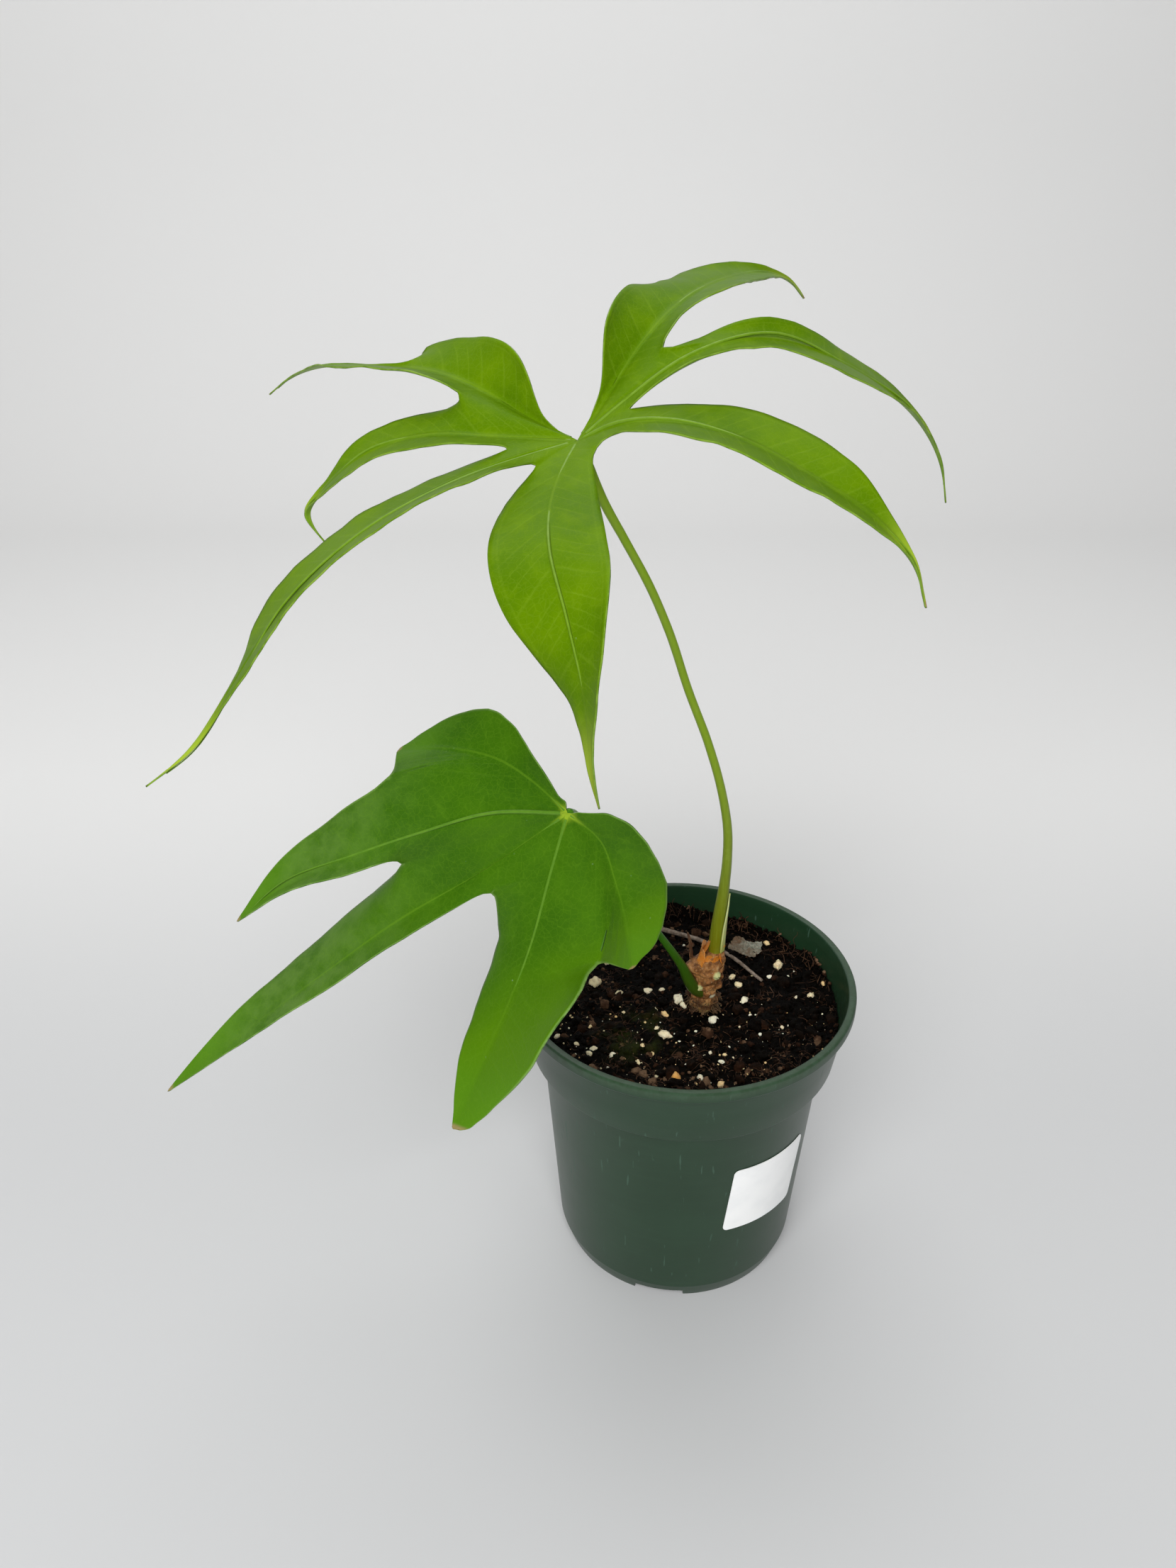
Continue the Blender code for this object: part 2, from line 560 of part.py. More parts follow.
def make_rhizome(collection, cutters, material, stalks):
    """The stem at the surface, with ragged leaf bases and a socket for each stalk."""
    rhizome = bake(tube("rhizome", even_points(RHIZOME, 3), collection, material))
    for vertex in rhizome.data.vertices:
        if vertex.co.z > (SOIL_LEVEL + 5) * MM:
            push = RHIZOME_LUMPS * noise.noise(vertex.co / (3 * MM))
            axis = Vector((RHIZOME[0][0] * MM, 0, vertex.co.z))
            vertex.co += (vertex.co - axis).normalized() * push * MM
    scales = new_collection("leaf bases")
    chance = random.Random(SCALE_SEED)
    for number in range(SCALE_COUNT):
        angle = 2 * math.pi * number / SCALE_COUNT + chance.uniform(-0.3, 0.3)
        height = chance.uniform(97, 103)
        length = SCALE_LENGTH * chance.uniform(0.6, 1)
        points = scale_tube(angle, height, length, chance.uniform(0.4, 2.2))
        bake(tube("scale_%d" % (number + 1), points, scales, material))
    boolean(rhizome, scales, "UNION")
    rhizome = bake(rhizome)
    for scale in list(scales.objects):
        bpy.data.objects.remove(scale, do_unlink=True)
    bpy.data.collections.remove(scales)
    for name, points in stalks:
        socket = [(x, y, z, radius + TUBE_FIT / MM) for x, y, z, radius in points]
        first = Vector(socket[0][:3])
        ahead = (Vector(socket[1][:3]) - first).normalized()
        socket[0] = (*(first - ahead * GAP / MM), socket[0][3])
        cutter = bake(tube(name + "_socket", socket, cutters))
        hide_cutter(cutter)
        boolean(rhizome, cutter, "DIFFERENCE")
    return rhizome


def make_blade(name, hub, normal, lobes, collection, material):
    """A blade: a sheet from each lobe's rib to its edges, made thick."""
    mesh = bmesh.new()
    found = {}

    def vertex(point):
        key = tuple(round(float(part), 3) for part in point)
        if key not in found:
            found[key] = mesh.verts.new(Vector(key) * MM)
        return found[key]

    for side, rib, edge, top in blade_grid(hub, normal, lobes, FINER_ROWS):
        width = np.linalg.norm(edge - rib, axis=1, keepdims=True)
        lines = []
        for column in range(HALF_COLUMNS + 1):
            across = column / HALF_COLUMNS
            rise = ARCH * math.sin(math.pi * across) * width * top
            lines.append(rib + across * (edge - rib) + rise)
        for row in range(len(rib) - 1):
            for near, far in zip(lines, lines[1:]):
                corners = [vertex(near[row]), vertex(near[row + 1]), vertex(far[row + 1]), vertex(far[row])]
                corners = list(dict.fromkeys(corners))
                if side == "right":
                    corners.reverse()
                if len(corners) > 2:
                    mesh.faces.new(corners)
    blade = new_mesh_object(name, mesh, collection, material)
    blade.modifiers.new("triangles", "TRIANGULATE")
    solidify = blade.modifiers.new("thickness", "SOLIDIFY")
    solidify.thickness = BLADE_THICKNESS * MM
    solidify.offset = 0
    return blade


def surface_tree(obj):
    graph = bpy.context.evaluated_depsgraph_get()
    graph.update()
    return BVHTree.FromObject(obj, graph)


def make_stalk(name, points, blade, hub, normal, collection, material):
    """A stalk whose top bends to meet the blade's underside square on, one gap below it."""
    down = -Vector(normal).normalized()
    aside = down.orthogonal().normalized()
    tree = surface_tree(blade)
    depth = 0
    for number in range(12):
        out = Matrix.Rotation(math.radians(30 * number), 3, down) @ aside
        start = Vector(hub) + down * 20 + out * KNEE_RADIUS
        hit = tree.ray_cast(start * MM, -down)[0]
        if hit:
            depth = max(depth, (hit / MM - Vector(hub)).dot(down))
    top = Vector(hub) + down * (depth + GAP / MM)
    knee = top + down * KNEE_LENGTH
    route = [*points, (*knee, KNEE_RADIUS - 0.1), (*top, KNEE_RADIUS)]
    route = even_points(route, STALK_STEP)
    before = (*(top + down * 1.5), KNEE_RADIUS)
    route = [*route[:-1], before, (*top, KNEE_RADIUS)]
    return tube(name, route, collection, material), route


def make_sheath(collection, material):
    """A thin pointed strip that wraps part of the tall stalk, just clear of it."""
    stalk = np.asarray(TALL_STALK, float)
    mesh = bmesh.new()
    rows = []
    count = 9
    for i in range(count):
        share = i / (count - 1)
        height = SHEATH_BOTTOM + (SHEATH_TOP - SHEATH_BOTTOM) * share
        x, y, radius = (np.interp(height, stalk[:, 2], stalk[:, k]) for k in (0, 1, 3))
        radius += TUBE_FIT / MM
        spread = math.radians(SHEATH_SPREAD) * (1 - 0.8 * share**2)
        row = []
        for j in range(5):
            angle = math.radians(SHEATH_AZIMUTH) + spread * (j / 2 - 1)
            point = Vector((x + radius * math.cos(angle), y + radius * math.sin(angle), height))
            row.append(mesh.verts.new(point * MM))
        rows.append(row)
    for lower, upper in zip(rows, rows[1:]):
        for j in range(4):
            mesh.faces.new((lower[j], lower[j + 1], upper[j + 1], upper[j]))
    sheath = new_mesh_object("sheath", mesh, collection, material)
    solidify = sheath.modifiers.new("thickness", "SOLIDIFY")
    solidify.thickness = SHEATH_THICKNESS * MM
    solidify.offset = 1
    return sheath


def rest_height(tree, x, y, reach):
    """Greatest height of the surface under a small disc round (x, y), in mm."""
    heights = []
    for i in range(-2, 3):
        for j in range(-2, 3):
            start = Vector((x + reach * i / 2, y + reach * j / 2, 200)) * MM
            hit = tree.ray_cast(start, Vector((0, 0, -1)))[0]
            if hit:
                heights.append(hit.z / MM)
    return max(heights)


def make_dry_stem(soil, collection, material):
    tree = surface_tree(soil)
    flat = even_points([(x, y, 0, 0) for x, y in DRY_STEM], 2.5)
    points = []
    for number, (x, y, _, _) in enumerate(flat):
        share = number / (len(flat) - 1)
        radius = DRY_STEM_RADII[0] + (DRY_STEM_RADII[1] - DRY_STEM_RADII[0]) * share
        height = rest_height(tree, x, y, 2.5) + radius + LITTER_CLEARANCE
        points.append((x, y, height, radius))
    return tube("dry_stem", points, collection, material)


def make_scrap(soil, collection, material):
    """A crumpled scrap of dead leaf: a fan of thin cells lying on the soil."""
    tree = surface_tree(soil)
    middle = np.mean(SCRAP, axis=0)
    mesh = bmesh.new()

    def lay(x, y, number):
        crumple = SCRAP_CRUMPLE * (0.5 + 0.5 * math.sin(2.3 * number + 0.7 * x))
        height = rest_height(tree, x, y, 3) + LITTER_CLEARANCE + crumple
        return mesh.verts.new(Vector((x, y, height)) * MM)

    centre = lay(*middle, 0)
    rings = []
    for share in (0.5, 1):
        ring = [lay(*(middle + share * (np.array(corner) - middle)), number + 3 * share)
                for number, corner in enumerate(SCRAP)]
        rings.append(ring)
    for i in range(len(SCRAP)):
        j = (i + 1) % len(SCRAP)
        mesh.faces.new((centre, rings[0][j], rings[0][i]))
        mesh.faces.new((rings[0][i], rings[0][j], rings[1][j], rings[1][i]))
    bmesh.ops.recalc_face_normals(mesh, faces=mesh.faces)
    if sum(face.normal.z for face in mesh.faces) < 0:
        bmesh.ops.reverse_faces(mesh, faces=mesh.faces)
    bmesh.ops.triangulate(mesh, faces=mesh.faces)
    scrap = new_mesh_object("dry_scrap", mesh, collection, material)
    solidify = scrap.modifiers.new("thickness", "SOLIDIFY")
    solidify.thickness = SCRAP_THICKNESS * MM
    solidify.offset = 1
    return scrap


def main():
    clear_scene()
    plant = new_collection("anthurium")
    cutters = new_collection("cutters")
    green_plastic = new_material("green plastic", (0.012, 0.07, 0.04), 0.45)
    peat = new_material("peat", (0.025, 0.017, 0.012), 0.95)
    fibre = new_material("brown fibre", (0.32, 0.17, 0.07), 0.85)
    pale_sheath = new_material("pale sheath", (0.55, 0.58, 0.25), 0.5)
    tall_stalk_green = new_material("tall stalk", (0.22, 0.38, 0.08), 0.4)
    low_stalk_green = new_material("low stalk", (0.05, 0.20, 0.03), 0.4)
    tall_leaf_green = new_material("tall leaf", (0.16, 0.36, 0.02), 0.35)
    low_leaf_green = new_material("low leaf", (0.07, 0.24, 0.02), 0.4)
    dead_stalk = new_material("dead stalk", (0.22, 0.17, 0.13), 0.85)
    dead_leaf = new_material("dead leaf", (0.38, 0.35, 0.30), 0.8)
    paper = new_material("white paper", (0.85, 0.85, 0.84), 0.5)

    make_pot(plant, cutters, green_plastic)
    make_label(plant, paper)
    soil = make_soil(plant, cutters, peat)
    tall = make_blade("tall_blade", TALL_HUB, TALL_NORMAL, TALL_LOBES, plant, tall_leaf_green)
    low = make_blade("low_blade", LOW_HUB, LOW_NORMAL, LOW_LOBES, plant, low_leaf_green)
    tall_route = make_stalk("tall_petiole", TALL_STALK, tall, TALL_HUB, TALL_NORMAL, plant,
                            tall_stalk_green)[1]
    low_route = make_stalk("low_petiole", LOW_STALK, low, LOW_HUB, LOW_NORMAL, plant,
                           low_stalk_green)[1]
    stalks = (("tall_petiole", tall_route[:5]), ("low_petiole", low_route[:5]))
    make_rhizome(plant, cutters, fibre, stalks)
    make_sheath(plant, pale_sheath)
    make_dry_stem(soil, plant, dead_stalk)
    make_scrap(soil, plant, dead_leaf)


main()
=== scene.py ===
import math
import random

import bmesh
import bpy
import numpy as np
from mathutils import Matrix, Vector, noise
from mathutils.bvhtree import BVHTree


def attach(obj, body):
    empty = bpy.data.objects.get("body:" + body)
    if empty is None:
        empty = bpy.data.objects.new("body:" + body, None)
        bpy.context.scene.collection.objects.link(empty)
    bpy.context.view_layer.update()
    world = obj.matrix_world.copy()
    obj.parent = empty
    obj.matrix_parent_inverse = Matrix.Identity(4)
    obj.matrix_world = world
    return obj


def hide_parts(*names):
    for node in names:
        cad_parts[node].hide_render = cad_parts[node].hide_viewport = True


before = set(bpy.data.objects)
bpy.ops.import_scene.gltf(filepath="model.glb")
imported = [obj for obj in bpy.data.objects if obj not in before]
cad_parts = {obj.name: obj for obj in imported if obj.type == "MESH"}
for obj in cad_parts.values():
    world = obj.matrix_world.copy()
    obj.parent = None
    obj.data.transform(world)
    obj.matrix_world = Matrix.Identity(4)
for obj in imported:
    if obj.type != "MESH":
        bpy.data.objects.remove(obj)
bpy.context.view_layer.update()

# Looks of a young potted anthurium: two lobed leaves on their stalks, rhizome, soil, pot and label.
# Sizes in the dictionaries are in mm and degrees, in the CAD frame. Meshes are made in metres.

mm = 0.001
scene = bpy.context.scene
scene.view_settings.view_transform = "Standard"


# Nodes written as Python sums

class Wire:
    # one node socket, with the sums that the materials and trees below use
    def __init__(self, desk, socket):
        self.desk = desk
        self.socket = socket

    def __add__(self, other):
        return self.desk.sum("ADD", self, other)

    def __radd__(self, other):
        return self.desk.sum("ADD", other, self)

    def __sub__(self, other):
        return self.desk.sum("SUBTRACT", self, other)

    def __rsub__(self, other):
        return self.desk.sum("SUBTRACT", other, self)

    def __mul__(self, other):
        return self.desk.sum("MULTIPLY", self, other)

    def __rmul__(self, other):
        return self.desk.sum("MULTIPLY", other, self)

    def __truediv__(self, other):
        return self.desk.sum("DIVIDE", self, other)

    def __pow__(self, other):
        return self.desk.sum("POWER", self, other)


class Desk:
    # adds nodes to one tree, for a material or for geometry
    def __init__(self, tree):
        self.tree = tree

    def node(self, kind, settings=None, sockets=None, out=0):
        made = self.tree.nodes.new(kind)
        for key, value in (settings or {}).items():
            if key == "stops":
                self.setStops(made.color_ramp, value)
            elif key == "cases":
                for _ in range(value - len(made.index_switch_items)):
                    made.index_switch_items.new()
            else:
                setattr(made, key, value)
        for key, value in (sockets or {}).items():
            self.plug(made.inputs[key], value)
        return Wire(self, made.outputs[out])

    def setStops(self, ramp, stops):
        while len(ramp.elements) < len(stops):
            ramp.elements.new(0.5)
        for element, (place, colour) in zip(ramp.elements, stops):
            element.position = place
            element.color = (*colour, 1)

    def plug(self, socket, value):
        if isinstance(value, Wire):
            self.tree.links.new(value.socket, socket)
        elif socket.type == "RGBA" and len(value) == 3:
            socket.default_value = (*value, 1)
        else:
            socket.default_value = value

    def sum(self, operation, first, second=0.0):
        return self.node("ShaderNodeMath", {"operation": operation}, {0: first, 1: second})

    def clamp(self, value):
        return self.node("ShaderNodeMath", {"operation": "ADD", "use_clamp": True}, {0: value, 1: 0.0})

    def size(self, value):
        return self.sum("ABSOLUTE", value)

    def ease(self, value, low, high, start=0.0, end=1.0):
        # smooth step from start at low to end at high
        return self.node("ShaderNodeMapRange", {"interpolation_type": "SMOOTHSTEP"},
                         {"Value": value, "From Min": low, "From Max": high, "To Min": start, "To Max": end})

    def fall(self, value, low, high):
        # smooth step from 1 at low to 0 at high
        return self.ease(value, low, high, 1.0, 0.0)

    def blend(self, share, first, second):
        mixer = self.tree.nodes.new("ShaderNodeMix")
        mixer.data_type = "RGBA"
        for number, value in ((0, share), (6, first), (7, second)):
            self.plug(mixer.inputs[number], value)
        return Wire(self, mixer.outputs[2])

    def coats(self, colour, *layers):
        # tones laid over a colour one after another, each given with its share
        for share, tone in layers:
            colour = self.blend(share, colour, tone)
        return colour

    def ramp(self, stops, value):
        return self.node("ShaderNodeValToRGB", {"stops": stops}, {0: value})

    def grain(self, place, scale, detail=4.0, roughness=0.55):
        return self.node("ShaderNodeTexNoise", {}, {"Vector": place, "Scale": scale, "Detail": detail,
                                                    "Roughness": roughness})

    def cells(self, place, scale, feature="F1"):
        return self.node("ShaderNodeTexVoronoi", {"feature": feature}, {"Vector": place, "Scale": scale})

    def attribute(self, name, out=2):
        return self.node("ShaderNodeAttribute", {"attribute_name": name}, out=out)

    def parts(self, vector, axis):
        return self.node("ShaderNodeSeparateXYZ", {}, {0: vector}, axis)

    def channels(self, colour):
        # the red, green and blue of a colour
        split = self.node("ShaderNodeSeparateColor", {}, {0: colour})
        return [Wire(self, split.socket.node.outputs[i]) for i in range(3)]

    def squeeze(self, vector, along):
        # drawn out along Z where along is under 1
        return self.node("ShaderNodeMapping", {}, {"Vector": vector, "Scale": (1.0, 1.0, along)})

    def distance(self, place, point):
        return self.node("ShaderNodeVectorMath", {"operation": "DISTANCE"}, {0: place, 1: point}, "Value")

    def scaled(self, vector, scale):
        return self.node("ShaderNodeVectorMath", {"operation": "SCALE"}, {0: vector, "Scale": scale})

    def vector(self, **parts):
        return self.node("ShaderNodeCombineXYZ", {}, parts)

    def moved(self, geometry, **sockets):
        return self.node("GeometryNodeSetPosition", {}, {"Geometry": geometry, **sockets})

    def stored(self, geometry, name, value, domain="POINT"):
        return self.node("GeometryNodeStoreNamedAttribute", {"data_type": "FLOAT", "domain": domain},
                         {"Geometry": geometry, "Name": name, "Value": value})

    def position(self):
        return self.node("GeometryNodeInputPosition")

    def drawn(self, kind, low, high, seed):
        # a random value for each instance
        first, out = {"FLOAT_VECTOR": (0, 0), "FLOAT": (2, 1), "INT": (4, 2)}[kind]
        return self.node("FunctionNodeRandomValue", {"data_type": kind},
                         {first: low, first + 1: high, "Seed": seed}, out)


def newMaterial(name, build, constants=None):
    # build(desk, place) gives what varies, as sockets of the shader, and "height": (wire, strength, distance)
    material = bpy.data.materials.new(name)
    material.use_nodes = True
    tree = material.node_tree
    shader = tree.nodes["Principled BSDF"]
    desk = Desk(tree)
    place = desk.node("ShaderNodeTexCoord", out=3)
    for key, value in (constants or {}).items():
        desk.plug(shader.inputs[key], value)
    for key, value in build(desk, place).items():
        if key == "height":
            height, strength, distance = value
            key = "Normal"
            value = desk.node("ShaderNodeBump", {}, {"Strength": strength, "Distance": distance,
                                                     "Height": height})
        desk.plug(shader.inputs[key], value)
    return material


def asMaterial(name, constants=None):
    # turns the build written below it into the material
    return lambda build: newMaterial(name, build, constants)


def newTree(name, inputs):
    # an empty geometry tree with named inputs, given as {name: (kind, default)}
    tree = bpy.data.node_groups.new(name, "GeometryNodeTree")
    for side in ("INPUT", "OUTPUT"):
        tree.interface.new_socket("Geometry", in_out=side, socket_type="NodeSocketGeometry")
    for label, (kind, start) in inputs.items():
        socket = tree.interface.new_socket(label, in_out="INPUT", socket_type="NodeSocket" + kind)
        if start is not None:
            socket.default_value = start
    desk = Desk(tree)
    entry = tree.nodes.new("NodeGroupInput")
    wires = {socket.name: Wire(desk, socket) for socket in entry.outputs if socket.name}
    return tree, desk, wires


def endTree(desk, result, material):
    # every tree ends as one real mesh with its material
    real = desk.node("GeometryNodeRealizeInstances", {}, {0: result})
    coated = desk.node("GeometryNodeSetMaterial", {}, {"Geometry": real, "Material": material})
    leave = desk.tree.nodes.new("NodeGroupOutput")
    desk.tree.links.new(coated.socket, leave.inputs[0])


def showObject(name, data):
    obj = bpy.data.objects.new(name, data)
    scene.collection.objects.link(obj)
    return obj


def growMesh(name, source, tree, values):
    # runs a geometry tree on the source data and keeps the result as a plain mesh
    obj = showObject(name, source)
    grower = obj.modifiers.new("grow", "NODES")
    grower.node_group = tree
    for item in tree.interface.items_tree:
        if item.in_out == "INPUT" and item.name in values:
            grower[item.identifier] = values[item.name]
    return bakeModifiers(obj)


def bakeModifiers(obj):
    name = obj.name
    graph = bpy.context.evaluated_depsgraph_get()
    mesh = bpy.data.meshes.new_from_object(obj.evaluated_get(graph), depsgraph=graph)
    bpy.data.objects.remove(obj, do_unlink=True)
    return showObject(name, mesh)


def plainMesh(name, points, faces):
    # a mesh without object or material, from points in mm
    mesh = bpy.data.meshes.new(name)
    mesh.from_pydata([tuple(float(v) * mm for v in point) for point in points], [], faces)
    return mesh


def meshFrom(name, points, faces, *materials):
    mesh = plainMesh(name, points, faces)
    for material in materials:
        mesh.materials.append(material)
    mesh.shade_smooth()
    return showObject(name, mesh)


def mark(obj, name, kind, domain, values):
    # stores a number or a colour per point or corner, for the materials
    layer = obj.data.attributes.new(name, kind, domain)
    layer.data.foreach_set("value" if kind == "FLOAT" else "color", np.array(values, dtype=np.float32).ravel())


def thickened(obj, thickness, offset=0, **settings):
    # gives a sheet its thickness and keeps the result as a plain mesh
    shell = obj.modifiers.new("thickness", "SOLIDIFY")
    shell.thickness = thickness * mm
    shell.offset = offset
    for key, value in settings.items():
        setattr(shell, key, value)
    return bakeModifiers(obj)


def ringPoint(reach, turn, height=0.0, x=0.0, y=0.0):
    # a point round the upright line through x, y
    return x + reach * math.cos(turn), y + reach * math.sin(turn), height


def gridFaces(rows, columns, start=0):
    # faces of points laid in rows, a row being columns + 1 points
    corners = [start + i * (columns + 1) + j for i in range(rows) for j in range(columns)]
    return [(corner, corner + 1, corner + columns + 2, corner + columns + 1) for corner in corners]


def bandFaces(first, second, sides):
    # faces between two rings of points, given by their first points
    return [(first + j, second + j, second + (j + 1) % sides, first + (j + 1) % sides) for j in range(sides)]


def discFaces(rings, sides, flipped=False):
    # faces of rings of points laid round point 0
    faces = [(0, 1 + j, 1 + (j + 1) % sides) for j in range(sides)]
    for i in range(rings - 1):
        faces += bandFaces(1 + i * sides, 1 + (i + 1) * sides, sides)
    return [(face[0], *face[:0:-1]) for face in faces] if flipped else faces


def settle(obj, slot, *nodes, sharp=None):
    # last touches on a piece: shading, the body it rides on and the CAD nodes it stands for; slot is not used
    if sharp is not None:
        obj.data.shade_smooth()
        obj.data.set_sharp_from_angle(angle=math.radians(sharp))
    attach(obj, "root")
    if nodes:
        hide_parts(*nodes)
    return obj


def turnedAway(obj):
    # faces of a closed mesh turned to point outwards
    fixer = bmesh.new()
    fixer.from_mesh(obj.data)
    bmesh.ops.remove_doubles(fixer, verts=fixer.verts, dist=0.001 * mm)
    bmesh.ops.recalc_face_normals(fixer, faces=fixer.faces)
    fixer.to_mesh(obj.data)
    fixer.free()


def rumple(point, size, seed=0.0):
    return noise.noise(Vector((point[0] + seed, point[1] - seed, point[2] + 2 * seed)) / size)


# Leaf outlines: share of a half lobe's greatest width, along the rib from the hub to the tip
slimStart = ((0, 0.12), (0.1, 0.5), (0.2, 0.75))
dripTip = (
    *slimStart, (0.32, 0.93), (0.45, 1), (0.58, 0.91), (0.7, 0.66), (0.8, 0.33), (0.88, 0.16), (0.95, 0.1),
    (1, 0.02))
taper = (
    *slimStart, (0.32, 0.93), (0.45, 1), (0.6, 0.88), (0.75, 0.6), (0.86, 0.33), (0.94, 0.15), (1, 0.02))
rounded = (
    (0, 0.3), (0.12, 0.62), (0.25, 0.88), (0.4, 0.99), (0.5, 1), (0.65, 0.95), (0.8, 0.78), (0.9, 0.55),
    (0.96, 0.35), (1, 0.08))
slender = (
    *slimStart, (0.32, 0.93), (0.45, 1), (0.58, 0.91), (0.7, 0.64), (0.8, 0.29), (0.88, 0.11), (0.95, 0.06),
    (1, 0.02))
# margins that follow the photo closely, in the same terms
crest = (
    (0, 0.5), (0.098, 0.59), (0.142, 0.706), (0.185, 0.874), (0.227, 0.984), (0.27, 0.975), (0.31, 0.978),
    (0.343, 0.967), (0.369, 0.939), (0.395, 0.916), (0.422, 0.893), (0.45, 0.859), (0.478, 0.792),
    (0.492, 0.748), (0.506, 0.6), (0.521, 0.419), (0.534, 0.219), (0.549, 0.083), (0.563, 0.07),
    (0.586, 0.075), (0.65, 0.12), (0.72, 0.12), (0.85, 0.09), (1, 0.02))
crestSweep = (
    (0, 0), (0.343, 0), (0.369, 0.8), (0.395, 1.7), (0.422, 2.8), (0.45, 3.6), (0.464, 4.2), (0.478, 4.8),
    (0.492, 4.85), (0.506, 3.05), (0.521, -0.2), (0.534, -2.1), (0.549, -2.4), (0.563, -1.4), (0.586, -0.2),
    (0.62, 0), (1, 0))
notched = (
    (0, 0.5), (0.064, 0.467), (0.1, 0.491), (0.136, 0.622), (0.174, 0.756), (0.212, 0.844), (0.25, 0.878),
    (0.289, 0.927), (0.329, 0.973), (0.36, 1.01), (0.378, 0.98), (0.399, 0.889), (0.43, 0.868),
    (0.46, 0.901), (0.491, 0.9), (0.532, 0.93), (0.574, 0.941), (0.6, 0.88), (0.626, 0.793), (0.678, 0.548),
    (0.731, 0.356), (0.784, 0.185), (0.838, 0.11), (0.892, 0.085), (0.946, 0.06), (1, 0.02))
hooked = (
    *slimStart, (0.26, 0.88), (0.31, 0.85), (0.35, 0.77), (0.39, 0.74), (0.43, 0.84), (0.46, 0.98),
    (0.489, 0.99), (0.528, 0.99), (0.577, 0.85), (0.625, 0.731), (0.673, 0.638), (0.72, 0.546),
    (0.767, 0.4), (0.814, 0.24), (0.861, 0.1), (0.908, 0.05), (0.954, 0.04), (1, 0.02))
bossed = (
    (0, 0.2), (0.034, 0.15), (0.059, 0.198), (0.086, 0.269), (0.117, 0.337), (0.149, 0.397), (0.183, 0.45),
    (0.218, 0.507), (0.255, 0.581), (0.294, 0.672), (0.324, 0.758), (0.354, 0.823), (0.386, 0.884),
    (0.418, 0.956), (0.439, 0.981), (0.461, 0.992), (0.483, 1.005), (0.505, 0.991), (0.528, 0.978),
    (0.562, 0.959), (0.621, 0.89), (0.681, 0.808), (0.742, 0.692), (0.792, 0.578), (0.843, 0.475),
    (0.895, 0.354), (0.934, 0.229), (1, 0.05))
scalloped = (
    (0, 0.2), (0.015, 0.179), (0.038, 0.283), (0.064, 0.424), (0.093, 0.6), (0.124, 0.697), (0.157, 0.817),
    (0.192, 0.865), (0.228, 0.912), (0.266, 0.931), (0.305, 0.958), (0.335, 0.979), (0.366, 0.986),
    (0.429, 0.999), (0.472, 1.014), (0.494, 1.022), (0.516, 1.004), (0.572, 0.959), (0.63, 0.914),
    (0.689, 0.835), (0.749, 0.763), (0.798, 0.671), (0.847, 0.583), (0.898, 0.423), (0.936, 0.248),
    (1, 0.05))
pinchedLeft = (
    *slimStart, (0.32, 0.92), (0.42, 0.88), (0.47, 0.8), (0.522, 0.73), (0.574, 0.68), (0.626, 0.64),
    (0.678, 0.55), (0.731, 0.38), (0.784, 0.25), (0.838, 0.12), (0.892, 0.07), (0.946, 0.05), (1, 0.02))
pinchedRight = (
    *slimStart, (0.32, 0.93), (0.45, 1), (0.555, 1.0), (0.609, 0.94), (0.663, 0.72), (0.718, 0.42),
    (0.773, 0.24), (0.829, 0.12), (0.886, 0.07), (0.943, 0.05), (1, 0.02))
bluntLeft = (
    *slimStart, (0.316, 0.93), (0.377, 1.06), (0.408, 1.07), (0.439, 1.06), (0.482, 1.03), (0.526, 1.0),
    (0.548, 0.985), (0.582, 0.96), (0.639, 0.92), (0.696, 0.82), (0.755, 0.693), (0.803, 0.576),
    (0.851, 0.462), (0.9, 0.364), (0.938, 0.275), (0.975, 0.184), (1, 0.05))
bluntRight = (
    *slimStart, (0.31, 0.96), (0.35, 0.965), (0.39, 0.95), (0.42, 0.88), (0.45, 0.9), (0.48, 0.895),
    (0.51, 0.877), (0.55, 0.863), (0.61, 0.81), (0.642, 0.77), (0.693, 0.694), (0.744, 0.623),
    (0.795, 0.534), (0.836, 0.432), (0.877, 0.329), (0.918, 0.225), (0.949, 0.137), (1, 0.03))
widestPlace = 0.45
turnPlaces = (0, 0.2, 0.45, 0.7, 1)
rowPlaces = (0, 0.09, 0.19, 0.3, 0.42, 0.55, 0.68, 0.8, 0.9, 0.96, 1)
arch = 0.07  # how far a half lobe bulges, as a share of its width
webFade = 0.08  # share of the rib over which an edge leaves the end of its cut
cutBite = 1.4  # how far the end of a cut is rounded into the lobe
veinSlant = 0.7  # side veins, shared by the relief and the skins
veinShift = 0.37
veinSway = (1.7, 0.25)
columnEase = 1.35  # columns lie closer near the rib
uvScale = 100  # mm per unit of the veins' own map
lobeScale = 10

